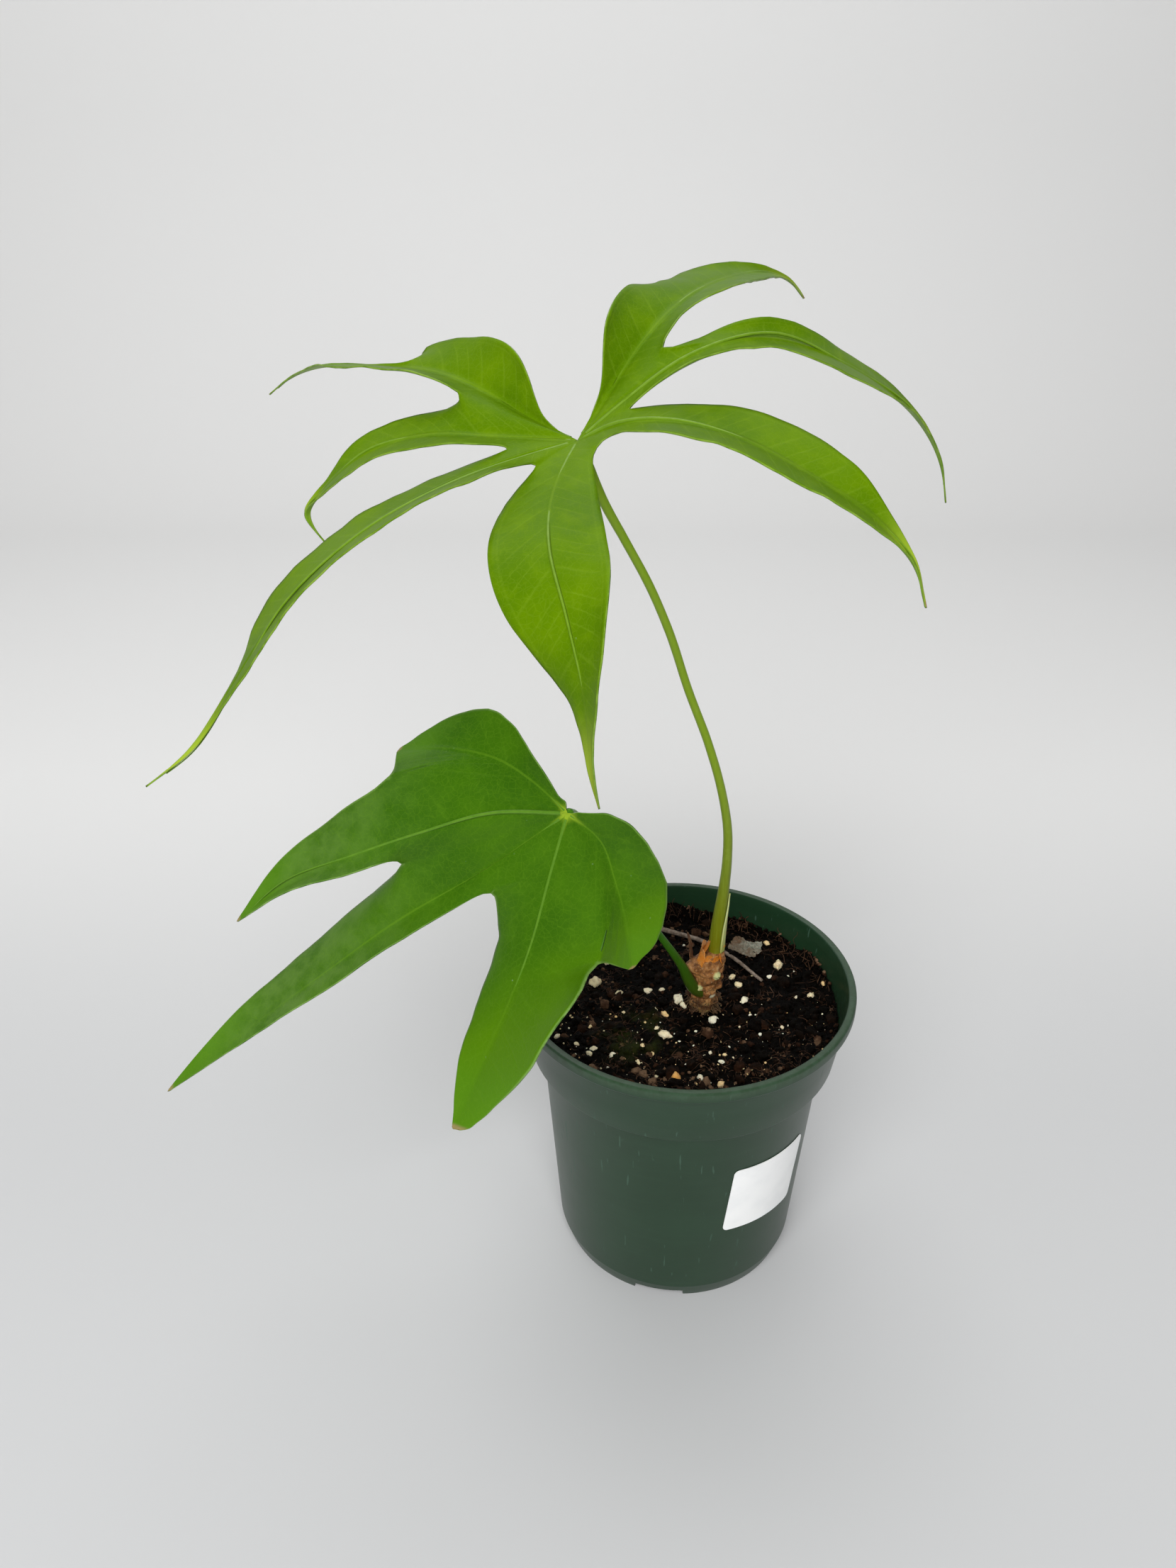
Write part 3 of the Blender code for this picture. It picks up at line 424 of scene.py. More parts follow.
# Both leaves, lobe by lobe; each one's left side lies next to the following one's right side.
# rib: from the hub to the tip. turn, fold: roll and rise of the halves at turnPlaces.
# left, right: greatest half width and where it lies. gap: where the cuts beside the lobe end.
# web: rows that join it to the next lobe. rightSweep: shift of that margin towards the tip.
tallLeaf = dict(
    hub=(-33, -10, 272), normal=(-0.35, -0.3, 0.89), thickness=0.42, finer=9, columns=15, veinStep=5.2,
    quilt=0.08, midrib=0.16, wave=0.5, seed=3.0, rounds=120, calmFade=20, lobeCalm=0.5,
    lobes=(
        dict(rib=((-42, -3, 274), (-56, 8, 280), (-72, 21, 283), (-89, 34, 282), (-106, 47, 280),
                  (-117, 56, 275), (-125, 62, 269)),
             turn=(1, 19, 33, 0), fold=(50, 16, -2, 1), left=(12.5, 0.41), right=(13.2, 0.42),
             gap=(0.3, None), web=3, outline=dripTip, rightOutline=crest, rightSweep=crestSweep,
             base=0.28),
        dict(rib=((-42, -8, 272), (-55, -6, 272), (-70, -3, 272), (-86, -1, 268), (-98, 1, 258),
                  (-104.7, 3, 249.9), (-100, 2, 243)),
             turn=(6, 11, 3, 5), fold=(20, 6, 3, -4), left=(11, 0.43), right=(11, 0.38),
             gap=(0.16, 0.32), web=2, outline=slender),
        dict(rib=((-45, -16, 270), (-63, -26, 266), (-82, -36, 258), (-100, -46, 244),
                  (-113.2, -53, 224.6), (-122.7, -58, 211.7), (-133, -63, 205)),
             turn=(15, 18, 18, 34), fold=(3, 3, 1, -2), left=(12.5, 0.48), right=(12.7, 0.5),
             gap=(0.095, 0.13), web=1, outline=pinchedLeft, rightOutline=pinchedRight, raised=-1.2),
        dict(rib=((-36, -20, 269), (-39, -36, 264), (-39, -53, 259), (-35, -69, 248), (-31, -77, 231),
                  (-30, -78, 218), (-28, -77, 207)),
             turn=(-6, -4, 40, 70), fold=(-4, -2, 0, 5), left=(12.7, 0.43), right=(14, 0.44),
             gap=(0.09, 0.115), web=1, outline=dripTip, quilted=3, raised=0.2),
        dict(rib=((-25, -14, 277), (-12, -22, 280), (3, -30, 278), (19, -39, 271), (34, -47, 263),
                  (42, -51, 255), (45, -53, 245)),
             turn=(-19, -24, -18, -40), fold=(-2, 9, 17, -25), left=(12.7, 0.44), right=(12.7, 0.5),
             gap=(0.13, 0.09), web=2, outline=slender),
        dict(rib=((-23, -7, 280), (-6, -2, 291), (15, 5, 295), (36, 11, 286), (56, 17, 273),
                  (65, 20, 260), (68, 21, 248)),
             turn=(-13, 9, 6, 20), fold=(4, 3, 2, -8), left=(8, 0.58), right=(11, 0.48),
             gap=(0.22, 0.09), web=3, outline=dripTip),
        dict(rib=((-27, -2, 279), (-18, 11, 290), (-6, 26, 300), (7, 45, 303), (20, 63, 303),
                  (29, 75, 299), (35, 84, 293)),
             turn=(18, 4, 18, 80), fold=(50, 10, 1, 3), left=(13.5, 0.48), right=(13, 0.42),
             gap=(None, 0.235), web=0, outline=notched, rightOutline=hooked, base=0.28),
    ),
)
lowLeaf = dict(
    hub=(-36, -25, 176), normal=(-0.25, -0.81, 0.53), thickness=0.42, finer=9, columns=18, veinStep=7,
    quilt=0.05, midrib=0.07, wave=0.35, seed=8.0, rounds=500, calmFade=25, lobeCalm=0.6,
    lobes=(
        dict(rib=((-45, -19, 182), (-55, -13, 186), (-68, -8, 187), (-84, -3, 184)),
             turn=(-2, 13, 28, 45), fold=(24, 10, 7, 5), left=(16, 0.5), right=(13, 0.55),
             gap=(0.93, None), web=5, outline=rounded, rightOutline=bossed, base=0.05),
        dict(rib=((-57, -25, 176), (-76, -25, 170), (-96, -26, 163), (-115, -26, 155), (-130, -26, 141)),
             turn=(4, 10, 22, 20), fold=(9, 11, 4, -6), left=(5.6, 0.6), right=(16.5, 0.38),
             gap=(0.47, 0.49), web=4, outline=taper),
        dict(rib=((-59, -27, 159), (-84, -30, 144), (-107, -34, 127), (-130, -39, 111), (-152, -44, 94)),
             turn=(4, 30, 35, 8), fold=(9, 2, 3, 5), left=(6.5, 0.46), right=(13.5, 0.5),
             gap=(0.22, 0.35), web=2, outline=taper),
        dict(rib=((-41, -32, 160), (-46, -40, 144), (-52, -48, 130), (-60, -57, 115), (-67, -66, 101)),
             turn=(-2, 30, 32, 5), fold=(4, 0, 6, 5), left=(22, 0.53), right=(14, 0.46),
             gap=(0.4, 0.3), web=5, outline=bluntLeft, rightOutline=bluntRight),
        dict(rib=((-27.1, -28, 169.2), (-23.2, -32, 158.5), (-20.3, -36, 148.9), (-18.4, -40, 135.1)),
             turn=(5, -6, -20, -26), fold=(28, 11, 6, 6), left=(13.3, 0.54), right=(13.8, 0.41),
             gap=(None, 0.92), web=0, outline=scalloped, rightOutline=rounded, base=0.05),
    ),
)


def smoothRead(places, values, at):
    # reads a smooth curve through the values at the places in at
    places = np.asarray(places, float)
    values = np.asarray(values, float).reshape(len(places), -1)
    at = np.asarray(at, float)
    steps = np.diff(places)[:, None]
    rises = np.diff(values, axis=0) / steps
    lean = steps[1:] / (steps[1:] + steps[:-1])
    slope = np.vstack([rises[:1], lean * rises[:-1] + (1 - lean) * rises[1:], rises[-1:]])
    i = np.clip(np.searchsorted(places, at, side="right") - 1, 0, len(places) - 2)
    step = (places[i + 1] - places[i])[:, None]
    u = (at - places[i])[:, None] / step
    before = (2 * u**3 - 3 * u**2 + 1) * values[i] + (u**3 - 2 * u**2 + u) * step * slope[i]
    after = (3 * u**2 - 2 * u**3) * values[i + 1] + (u**3 - u**2) * step * slope[i + 1]
    return before + after


def unit(rows):
    return rows / np.linalg.norm(rows, axis=-1, keepdims=True)


def ribFrames(points, normal, at):
    # points, upward normals and left-hand directions along a rib
    points = np.asarray(points, float)
    places = pathLength(points)
    rib = smoothRead(places / places[-1], points, np.linspace(0, 1, 121))
    along = pathLength(rib)
    along = along / along[-1]
    ahead = unit(np.gradient(rib, axis=0))
    up = np.zeros_like(ahead)
    last = np.asarray(normal, float)
    for i, direction in enumerate(ahead):
        last = unit(last - (last @ direction) * direction)
        up[i] = last
    rib, ahead, up = (np.stack([np.interp(at, along, column) for column in rows.T], -1)
                      for rows in (rib, ahead, up))
    ahead = unit(ahead)
    up = unit(up - (up * ahead).sum(-1, keepdims=True) * ahead)
    return rib, up, np.cross(up, ahead)


def pathLength(points):
    # how far each point lies along a line of points
    return np.r_[0, np.cumsum(np.linalg.norm(np.diff(points, axis=0), axis=1))]


def turnsAt(lobe, at):
    return np.radians(smoothRead(turnPlaces, (0, *lobe["turn"]), at))


def halfEdge(leaf, lobe, side, at):
    # edge of one half of a lobe at the places along its rib, and the half's own normals
    at = np.asarray(at, float)
    rib, up, left = ribFrames((leaf["hub"], *lobe["rib"]), leaf["normal"], at)
    turn = turnsAt(lobe, at)
    fold = np.radians(smoothRead(turnPlaces, (lobe["fold"][0], *lobe["fold"]), at))
    width, widest = lobe[side]
    eased = at ** (math.log(widestPlace) / math.log(widest))
    places, shares = zip(*lobe.get(side + "Outline", lobe["outline"]))
    width = width * smoothRead(places, shares, eased)
    sign = 1 if side == "left" else -1
    out = sign * (left * np.cos(turn) + up * np.sin(turn))
    top = up * np.cos(turn) - left * np.sin(turn)
    edge = rib + width * (out * np.cos(fold) + top * np.sin(fold))
    if side + "Sweep" in lobe:
        places, shifts = zip(*lobe[side + "Sweep"])
        edge = edge + smoothRead(places, shifts, eased) * np.cross(left, up)
    return edge, top


def halfLobes(leaf):
    # rows of rib, edge and normal for every half lobe, with webs shared between neighbours
    hub = np.asarray(leaf["hub"], float)
    finer = leaf["finer"]
    steps = np.linspace(0, len(rowPlaces) - 1, (len(rowPlaces) - 1) * finer + 1)
    at = smoothRead(range(len(rowPlaces)), rowPlaces, steps)[:, 0]
    count = np.arange(len(at))
    halves = []
    for number, lobe in enumerate(leaf["lobes"]):
        rib = ribFrames((leaf["hub"], *lobe["rib"]), leaf["normal"], at)[0]
        for side, shift, own in (("left", 1, 0), ("right", -1, 1)):
            cut = lobe["gap"][own]
            webRows = 0
            if cut is None:
                edge, top = halfEdge(leaf, lobe, side, at)
                start = np.clip(at / lobe["base"], 0, 1)[:, None]
                edge = rib + (edge - rib) * start * start * (3 - 2 * start)
            else:
                other = leaf["lobes"][number + shift]
                otherSide = "right" if side == "left" else "left"
                webRows = (lobe if side == "left" else other)["web"] * finer
                ownEnd = halfEdge(leaf, lobe, side, [cut])[0][0]
                otherEnd = halfEdge(leaf, other, otherSide, [other["gap"][1 - own]])[0][0]
                end = (ownEnd + otherEnd) / 2
                past = np.clip((at - at[webRows]) / (1 - at[webRows]), 0, 1)
                edgeAt = np.interp(count, (0, webRows, len(at) - 1), (0, cut, 1))
                edgeAt = np.where(count > webRows, cut + (1 - cut) * past, edgeAt)
                edge, top = halfEdge(leaf, lobe, side, edgeAt)
                fade = 1 - np.clip((edgeAt - cut) / webFade, 0, 1) ** 0.5
                near = np.exp(-(((edgeAt - cut) / 0.05) ** 2)) * (count >= webRows)
                bite = cutBite * (1 - fade) * near
                edge = edge + fade[:, None] * (end - ownEnd) - bite[:, None] * unit(edge - rib)
                web = count[:webRows + 1, None] / webRows
                edge[:webRows + 1] = hub + web * (end - hub)
            edge[-1] = rib[-1]
            halves.append(dict(lobe=number, side=side, sign=shift, at=at, rib=rib, edge=edge, top=top,
                               along=pathLength(rib), webRows=webRows))
    return halves


def bladeRelief(leaf, half, across):
    # height over the smooth sheet at one column: midrib, quilting between the side veins, wavy margin
    number = half["lobe"]
    lobe = leaf["lobes"][number]
    away = across * np.linalg.norm(half["edge"] - half["rib"], axis=1)
    place = half["at"]
    along = half["along"]
    young = np.clip(1 - place, 0, 1)
    crest = 1.1 * np.exp(-((away / 0.5) ** 2))
    furrow = np.exp(-(((away - 1.2) / 0.7) ** 2))
    ridge = leaf["midrib"] * lobe.get("raised", 1) * (crest - furrow) * young**0.5 * np.clip(place * 14, 0, 1)
    phase = (along - veinSlant * away) / leaf["veinStep"] + veinShift * number
    phase = phase + veinSway[1] * np.sin(veinSway[0] * phase + number)
    swell = np.abs(np.sin(math.pi * phase)) ** 0.7 - 0.6
    body = np.clip((away - 1.5) / 3, 0, 1) * np.clip((1 - across) / 0.25, 0, 1) * np.clip(young * 4, 0, 1)
    quilt = leaf["quilt"] * lobe.get("quilted", 1)
    relief = ridge + quilt * swell * body * np.clip(place * 6, 0, 1)
    seed = leaf["seed"] + 3 * number + (1.5 if half["side"] == "left" else 0)
    waves = np.array([noise.noise(Vector((s / 11, seed, 0))) + 0.5 * noise.noise(Vector((s / 4.5, seed, 4)))
                      for s in along])
    rows = np.arange(len(place)) - half["webRows"]
    reach = across**2 if half["webRows"] == 0 else np.where(rows > 0, across**2, across**2 * (1 - across))
    start = np.clip(rows / (1.5 * leaf["finer"]), 0, 1)
    return relief * (1 - across**6) + leaf["wave"] * waves * reach * start * np.clip(young * 5, 0, 1)


def bladePiece(name, leaf, materials):
    # one blade: half lobes laid column by column, evened out, then given its relief and thickness
    columns = leaf["columns"]
    spread = [(column / columns) ** columnEase for column in range(columns + 1)]
    halves = halfLobes(leaf)
    found = {}
    points, held, calm, reliefs = [], [], [], []
    faces, cornerPlaces, cornerMarks = [], [], []

    def point(co, holding, amount, height):
        key = tuple(round(float(part), 3) for part in co)
        if key not in found:
            found[key] = len(points)
            points.append(co)
            held.append(0)
            calm.append(0)
            reliefs.append([])
        place = found[key]
        held[place] = max(held[place], holding)
        calm[place] = max(calm[place], amount)
        reliefs[place].append(height)
        return place

    for half in halves:
        width = np.linalg.norm(half["edge"] - half["rib"], axis=1, keepdims=True)
        rows = np.arange(len(width))
        joined = max(other["webRows"] for other in halves if other["lobe"] == half["lobe"])
        past = np.clip((rows - joined) / (leaf["calmFade"] * leaf["finer"]), 0, 1)
        amount = 1 - (1 - leaf["lobeCalm"]) * past * past * (3 - 2 * past)
        grid = []
        for column, across in enumerate(spread):
            rise = arch * math.sin(math.pi * across) * width * half["top"]
            sheet = half["rib"] + across * (half["edge"] - half["rib"]) + rise
            margin = (rows >= half["webRows"]) & (column == columns) | (rows == rows[-1])
            relief = bladeRelief(leaf, half, across)
            grid.append([point(*values) for values in zip(sheet, margin, amount, relief)])
        for row in rows[:-1].tolist():
            for column in range(columns):
                corners = [(row, column), (row + 1, column), (row + 1, column + 1), (row, column + 1)]
                if half["side"] == "right":
                    corners.reverse()
                kept = []
                for r, c in corners:
                    if all(grid[c][r] != other[0] for other in kept):
                        kept.append((grid[c][r], r, c))
                if len(kept) < 3:
                    continue
                faces.append([index for index, _, _ in kept])
                for _, r, c in kept:
                    aside = half["sign"] * spread[c] * width[r, 0]
                    cornerPlaces.append((half["along"][r] / uvScale, aside / uvScale))
                    free = 1.0 if r >= half["webRows"] else 0.0
                    cornerMarks.append((half["at"][r], spread[c], free, half["lobe"] / lobeScale))
    corners = np.array([face + face[-1:] * (4 - len(face)) for face in faces])
    points = evenOut(np.array(points), corners, np.array(held), np.array(calm), leaf["rounds"])
    heights = np.array([sum(values) / len(values) for values in reliefs])
    points = points + heights[:, None] * pointNormals(points, corners)
    blade = meshFrom(name, points, faces, *materials)
    layer = blade.data.uv_layers.new(name="veins")
    layer.data.foreach_set("uv", np.array(cornerPlaces, dtype=np.float32).ravel())
    mark(blade, "lobe", "FLOAT_COLOR", "CORNER", cornerMarks)
    return thickened(blade, leaf["thickness"], material_offset=1, material_offset_rim=2)


def gathered(places, values, count):
    # sums of rows of values at their points
    return np.stack([np.bincount(places, values[:, k], count) for k in range(3)], -1)


def pointNormals(points, corners):
    first, second, third, fourth = (points[corners[:, k]] for k in range(4))
    normals = np.cross(third - first, fourth - second)
    total = gathered(corners.ravel(), np.repeat(normals, 4, axis=0), len(points))
    return total / np.maximum(np.linalg.norm(total, axis=1, keepdims=True), 1e-9)


def evenOut(points, corners, held, calm, rounds, step=0.8):
    # evens out creases along ribs and webs: points slide along their normals, the free margins stay
    pairs = {(min(a, b), max(a, b)) for face in corners.tolist()
             for a, b in zip(face, face[1:] + face[:1]) if a != b}
    first, second = np.array(sorted(pairs)).T
    here, there = np.r_[first, second], np.r_[second, first]
    count = np.bincount(here, minlength=len(points))
    normals = pointNormals(points, corners)
    lift = np.zeros(len(points))
    for _ in range(rounds):
        shifted = points + lift[:, None] * normals
        mean = gathered(here, shifted[there], len(points)) / count[:, None]
        lift += step * (1 - held) * ((mean - shifted) * normals).sum(-1)
    print("evened by up to", round(float(np.abs(calm * lift).max()), 2), "mm")
    return points + (calm * lift)[:, None] * normals


def leafTop(name, look):
    # upper skin of a leaf: veins drawn along the ribs, patchy green, a painted sheen on the left, pale rim,
    # soft gloss
    def build(desk, place):
        flat = desk.node("ShaderNodeUVMap", {"uv_map": "veins"})
        along = desk.parts(flat, 0) * uvScale
        away = desk.size(desk.parts(flat, 1) * uvScale)
        reach, across, free = desk.channels(desk.attribute("lobe", 0))
        number = desk.attribute("lobe", 3) * lobeScale
        young = 1.0 - reach
        phase = (along - away * veinSlant) / look["veinStep"] + number * veinShift
        phase = phase + desk.sum("SINE", phase * veinSway[0] + number) * veinSway[1]
        side = desk.size(desk.sum("SINE", phase * math.pi))
        sideVein = desk.fall(side, 0.02, 0.3) * desk.ease(across, 0.97, 0.6) * desk.ease(away, 0.2, 1.0)
        midrib = desk.fall(away, 0.1, look["ribWidth"]) * desk.ease(young, 0.02, 0.7)
        loop = desk.fall(desk.size(across - 0.86), 0.006, 0.03) * free
        mesh = desk.fall(desk.cells(place, 620.0, "DISTANCE_TO_EDGE"), 0.015, 0.07)
        patch = desk.grain(place, 38.0, 3.0, 0.5)
        cloud = desk.grain(place, 160.0, 4.0, 0.6)
        speck = desk.grain(place, 2600.0, 2.0, 0.7)
        green = desk.coats(desk.blend(desk.ease(patch, 0.35, 0.65), look["base"], look["dark"]),
                           (desk.ease(cloud, 0.4, 0.75) * 0.5, look["light"]),
                           (desk.ease(speck, 0.5, 0.75) * look["speckShare"], look["light"]))
        if "inner" in look:  # yellower green towards the lower right
            right = desk.parts(place, 0) * 0.5 - desk.parts(place, 2) + (patch - 0.5) * 0.03
            green = desk.blend(desk.ease(right, -0.167, -0.149) * 0.85, green, look["inner"])
        # painted sheen: a greyish-green cast laid in clouds over the leaf's left part
        haze = desk.ease(desk.parts(place, 0), look["paintedSheenFrom"], look["paintedSheenFrom"] - 0.05)
        faint = desk.ease(desk.size(number - look["faintLobe"]), 0.2, 0.5, 0.15, 1.0)
        green = desk.coats(green, (haze * desk.ease(cloud, 0.15, 0.75) * look["paintedSheenShare"], look["haze"]),
                           (desk.ease(young, look["tipFrom"], look["tipFrom"] * 0.3) * 0.75, look["tip"]),
                           (desk.ease(young, 0.022, 0.008) * 0.8, look["dry"]),
                           (mesh * look["meshShare"], look["vein"]),
                           (sideVein * look["sideShare"], look["vein"]),
                           (loop * look["sideShare"] * 0.6, look["vein"]),
                           (midrib * faint * look["midShare"], look["vein"]))
        if "star" in look:  # pale rays round the hub
            centre = desk.distance(place, tuple(v * mm for v in look["hub"]))
            ray = desk.fall(away, 0.2, 0.9) * desk.fall(centre, 0.002, 0.007)
            star = desk.clamp(desk.fall(centre, 0.0006, 0.0035) * 0.7 + ray * 0.5)
            green = desk.blend(star, green, look["star"])
        dust = desk.fall(desk.cells(place, 190.0), 0.03, 0.055) * desk.ease(desk.grain(place, 75.0), 0.52, 0.62)
        spots = desk.fall(desk.cells(place, 55.0), 0.018, 0.028) * desk.ease(desk.grain(place, 24.0), 0.5, 0.56)
        green = desk.coats(green, (desk.ease(across, 0.955, 0.995) * free * look["rimShare"], look["rim"]),
                           (dust * look["dust"], look["dustTone"]), (spots * look["spots"], look["spotTone"]))
        rough = look["rough"] + (cloud - 0.5) * 0.22 + mesh * 0.05 + dust * 0.15
        skin = 0.5 * desk.grain(place, 1500.0, 3.0, 0.65) - 0.35 * mesh - 0.5 * sideVein
        return {"Base Color": green, "Roughness": rough, "height": (skin, 0.35, 0.00012)}

    return newMaterial(name, build, {"Specular IOR Level": look["gloss"], "Specular Tint": leafSheen})


def leafUnder(name, look):
    # duller and paler back of a leaf
    def build(desk, place):
        away = desk.size(desk.parts(desk.node("ShaderNodeUVMap", {"uv_map": "veins"}), 1) * uvScale)
        cloud = desk.grain(place, 120.0, 4.0, 0.6)
        mesh = desk.fall(desk.cells(place, 620.0, "DISTANCE_TO_EDGE"), 0.015, 0.08)
        green = desk.coats(desk.blend(desk.ease(cloud, 0.35, 0.7), look["under"], look["underDark"]),
                           (mesh * 0.3, look["underDark"]),
                           (desk.ease(away, 0.2, 0.7, 0.8, 0.0), look["vein"]))
        rough = 0.52 + (cloud - 0.5) * 0.2
        return {"Base Color": green, "Roughness": rough, "height": (mesh * 0.3 + cloud, 0.12, 0.00006)}

    return newMaterial(name, build, {"Specular IOR Level": 0.3})


def plainGrain(name, first, second, scale, rough, bump=0.3, depth=0.00015):
    # two tones mixed by a fine grain, for margins, ribs and other small parts
    def build(desk, place):
        cloud = desk.grain(place, scale, 5.0, 0.6)
        tone = desk.blend(desk.ease(cloud, 0.35, 0.68), first, second)
        return {"Base Color": tone, "Roughness": rough + (cloud - 0.5) * 0.2, "height": (cloud, bump, depth)}

    return newMaterial(name, build)


leafSheen = (0.9, 1.0, 0.6)
# tones of a leaf, and how strong each marking is
tallLook = dict(
    base=(0.095, 0.192, 0.0005), dark=(0.072, 0.16, 0.0005), light=(0.128, 0.235, 0.001), speckShare=0.3,
    under=(0.17, 0.31, 0.012), underDark=(0.13, 0.26, 0.01), rough=0.42, gloss=0.06,
    vein=(0.24, 0.37, 0.03), midShare=0.16, sideShare=0.1, meshShare=0.08, ribWidth=0.45, faintLobe=2,
    ribTones=((0.15, 0.27, 0.014), (0.12, 0.235, 0.006)), rim=(0.19, 0.31, 0.03), rimShare=0.1,
    tip=(0.36, 0.48, 0.04), tipFrom=0.24, dry=(0.3, 0.13, 0.07), haze=(0.14, 0.25, 0.02), paintedSheenFrom=-0.3,
    paintedSheenShare=0.0, dust=0.1, dustTone=(0.4, 0.5, 0.3), spots=0.8, spotTone=(0.06, 0.04, 0.01),
    hub=tallLeaf["hub"], veinStep=tallLeaf["veinStep"],
)
lowLook = dict(
    base=(0.042, 0.128, 0.0015), dark=(0.029, 0.1, 0.002), light=(0.056, 0.155, 0.003), speckShare=0.5,
    inner=(0.075, 0.185, 0.001), under=(0.07, 0.19, 0.015), underDark=(0.05, 0.15, 0.012), rough=0.4,
    gloss=0.18, vein=(0.11, 0.24, 0.01), midShare=0.42, sideShare=0.07, meshShare=0.16, ribWidth=0.42,
    faintLobe=-1, ribTones=((0.095, 0.22, 0.01), (0.073, 0.188, 0.007)), rim=(0.2, 0.34, 0.08),
    rimShare=0.55, tip=(0.07, 0.19, 0.006), tipFrom=0.3, dry=(0.3, 0.2, 0.1), haze=(0.11, 0.205, 0.04),
    paintedSheenFrom=-0.065, paintedSheenShare=0.65, dust=0.3, dustTone=(0.3, 0.45, 0.25), spots=0.3,
    spotTone=(0.06, 0.04, 0.01), star=(0.24, 0.36, 0.02), hub=lowLeaf["hub"], veinStep=lowLeaf["veinStep"],
)
leaves = (("tall", tallLeaf, tallLook), ("low", lowLeaf, lowLook))
for title, leaf, look in leaves:
    skins = (leafTop(title + " leaf top", look), leafUnder(title + " leaf underside", look),
             plainGrain(title + " leaf margin", look["rim"], look["base"], 300.0, 0.45))
    blade = bladePiece(title + "_leaf", leaf, skins)
    settle(blade, title + "_leaf", title + "_blade")
    print("leaf", title, len(blade.data.polygons), "faces")


def pathTree():
    # a round stem along a curve whose points carry their radius, with a faint waviness
    tree, desk, wires = newTree("stem along a path", {
        "Sides": ("Int", 24), "Step": ("Float", 0.001), "Wave": ("Float", 0.0), "Wave Scale": ("Float", 300.0),
        "Groove": ("Float", 0.0), "Material": ("Material", None)})
    eased = desk.node("GeometryNodeCurveSplineType", {"spline_type": "CATMULL_ROM"},
                      {"Curve": wires["Geometry"]})
    stepped = desk.node("GeometryNodeResampleCurve", {"mode": "LENGTH"},
                        {"Curve": eased, "Length": wires["Step"]})
    path = desk.stored(stepped, "along", desk.node("GeometryNodeSplineParameter"))
    ring = desk.node("GeometryNodeCurvePrimitiveCircle", {}, {"Resolution": wires["Sides"], "Radius": 1.0})
    ring = desk.stored(ring, "around", desk.node("GeometryNodeSplineParameter"))
    body = desk.node("GeometryNodeCurveToMesh", {}, {
        "Curve": path, "Profile Curve": ring, "Scale": desk.node("GeometryNodeInputRadius"), "Fill Caps": True})
    lump = desk.grain(desk.position(), wires["Wave Scale"], 2.0) - 0.5
    around = desk.node("GeometryNodeInputNamedAttribute", {"data_type": "FLOAT"}, {"Name": "around"})
    flutes = 7
    flute = desk.sum("SINE", around * (2 * math.pi * flutes)) * wires["Groove"]
    shift = desk.scaled(desk.node("GeometryNodeInputNormal"), lump * wires["Wave"] + flute)
    endTree(desk, desk.moved(body, Offset=shift), wires["Material"])
    return tree


def curveFrom(name, lines):
    # curve data from lines of (x, y, z, radius) in mm
    data = bpy.data.curves.new(name, "CURVE")
    data.dimensions = "3D"
    for line in lines:
        spline = data.splines.new("POLY")
        spline.points.add(len(line) - 1)
        for knot, (x, y, z, radius) in zip(spline.points, line):
            knot.co = (x * mm, y * mm, z * mm, 1)
            knot.radius = radius * mm
    return data


def evenRoute(points, step):
    # the same line with points about a step apart
    points = np.asarray(points, float)
    along = pathLength(points[:, :3])
    count = max(2, round(along[-1] / step) + 1)
    return smoothRead(along, points, np.linspace(0, along[-1], count))


# Stalks: centre and radius from the rhizome to under the blade; the knee bends to meet the blade
tallStalk = dict(
    route=(
        (9.6, 0, 107, 2.3), (9.5, 0, 113, 2.3), (9.7, -0.3, 120, 2.2), (10.2, -0.7, 128, 1.95),
        (10.8, -1.2, 137, 1.65), (11.1, -1.6, 147, 1.45), (10.6, -2.2, 157, 1.35), (8.2, -3, 170, 1.25),
        (3.5, -3.6, 186, 1.2), (-2.9, -4.4, 203, 1.15), (-9, -5.1, 221, 1.15), (-14.6, -5.8, 234, 1.15),
        (-21, -6.5, 246, 1.15), (-26.9, -7.5, 257, 1.25)),
    leaf=tallLeaf, knee=5, kneeRadius=1.5,
)
lowStalk = dict(
    route=((7.6, -0.4, 95.0, 1.9), (3.6, -3.0, 99.0, 2.05), (-1.7, -5, 110.3, 1.4),
           (-10, -8, 125.3, 1.05), (-18.5, -12, 141, 0.95), (-27, -15.5, 157, 0.95)),
    leaf=lowLeaf, knee=5, kneeRadius=1.5,
)


def stalkRoute(stalk):
    # the stalk's line with its knee, up to just inside the blade's hub
    down = -Vector(stalk["leaf"]["normal"]).normalized()
    hub = Vector(stalk["leaf"]["hub"])
    knee = hub + down * (stalk["knee"] + 0.8)
    under = hub + down * 0.9
    points = [*stalk["route"], (*knee, stalk["kneeRadius"] - 0.15), (*under, stalk["kneeRadius"] - 0.1)]
    route = [tuple(row) for row in evenRoute(points, 2.0)]
    return route + [(*(hub + down * 0.15), 0.75)]


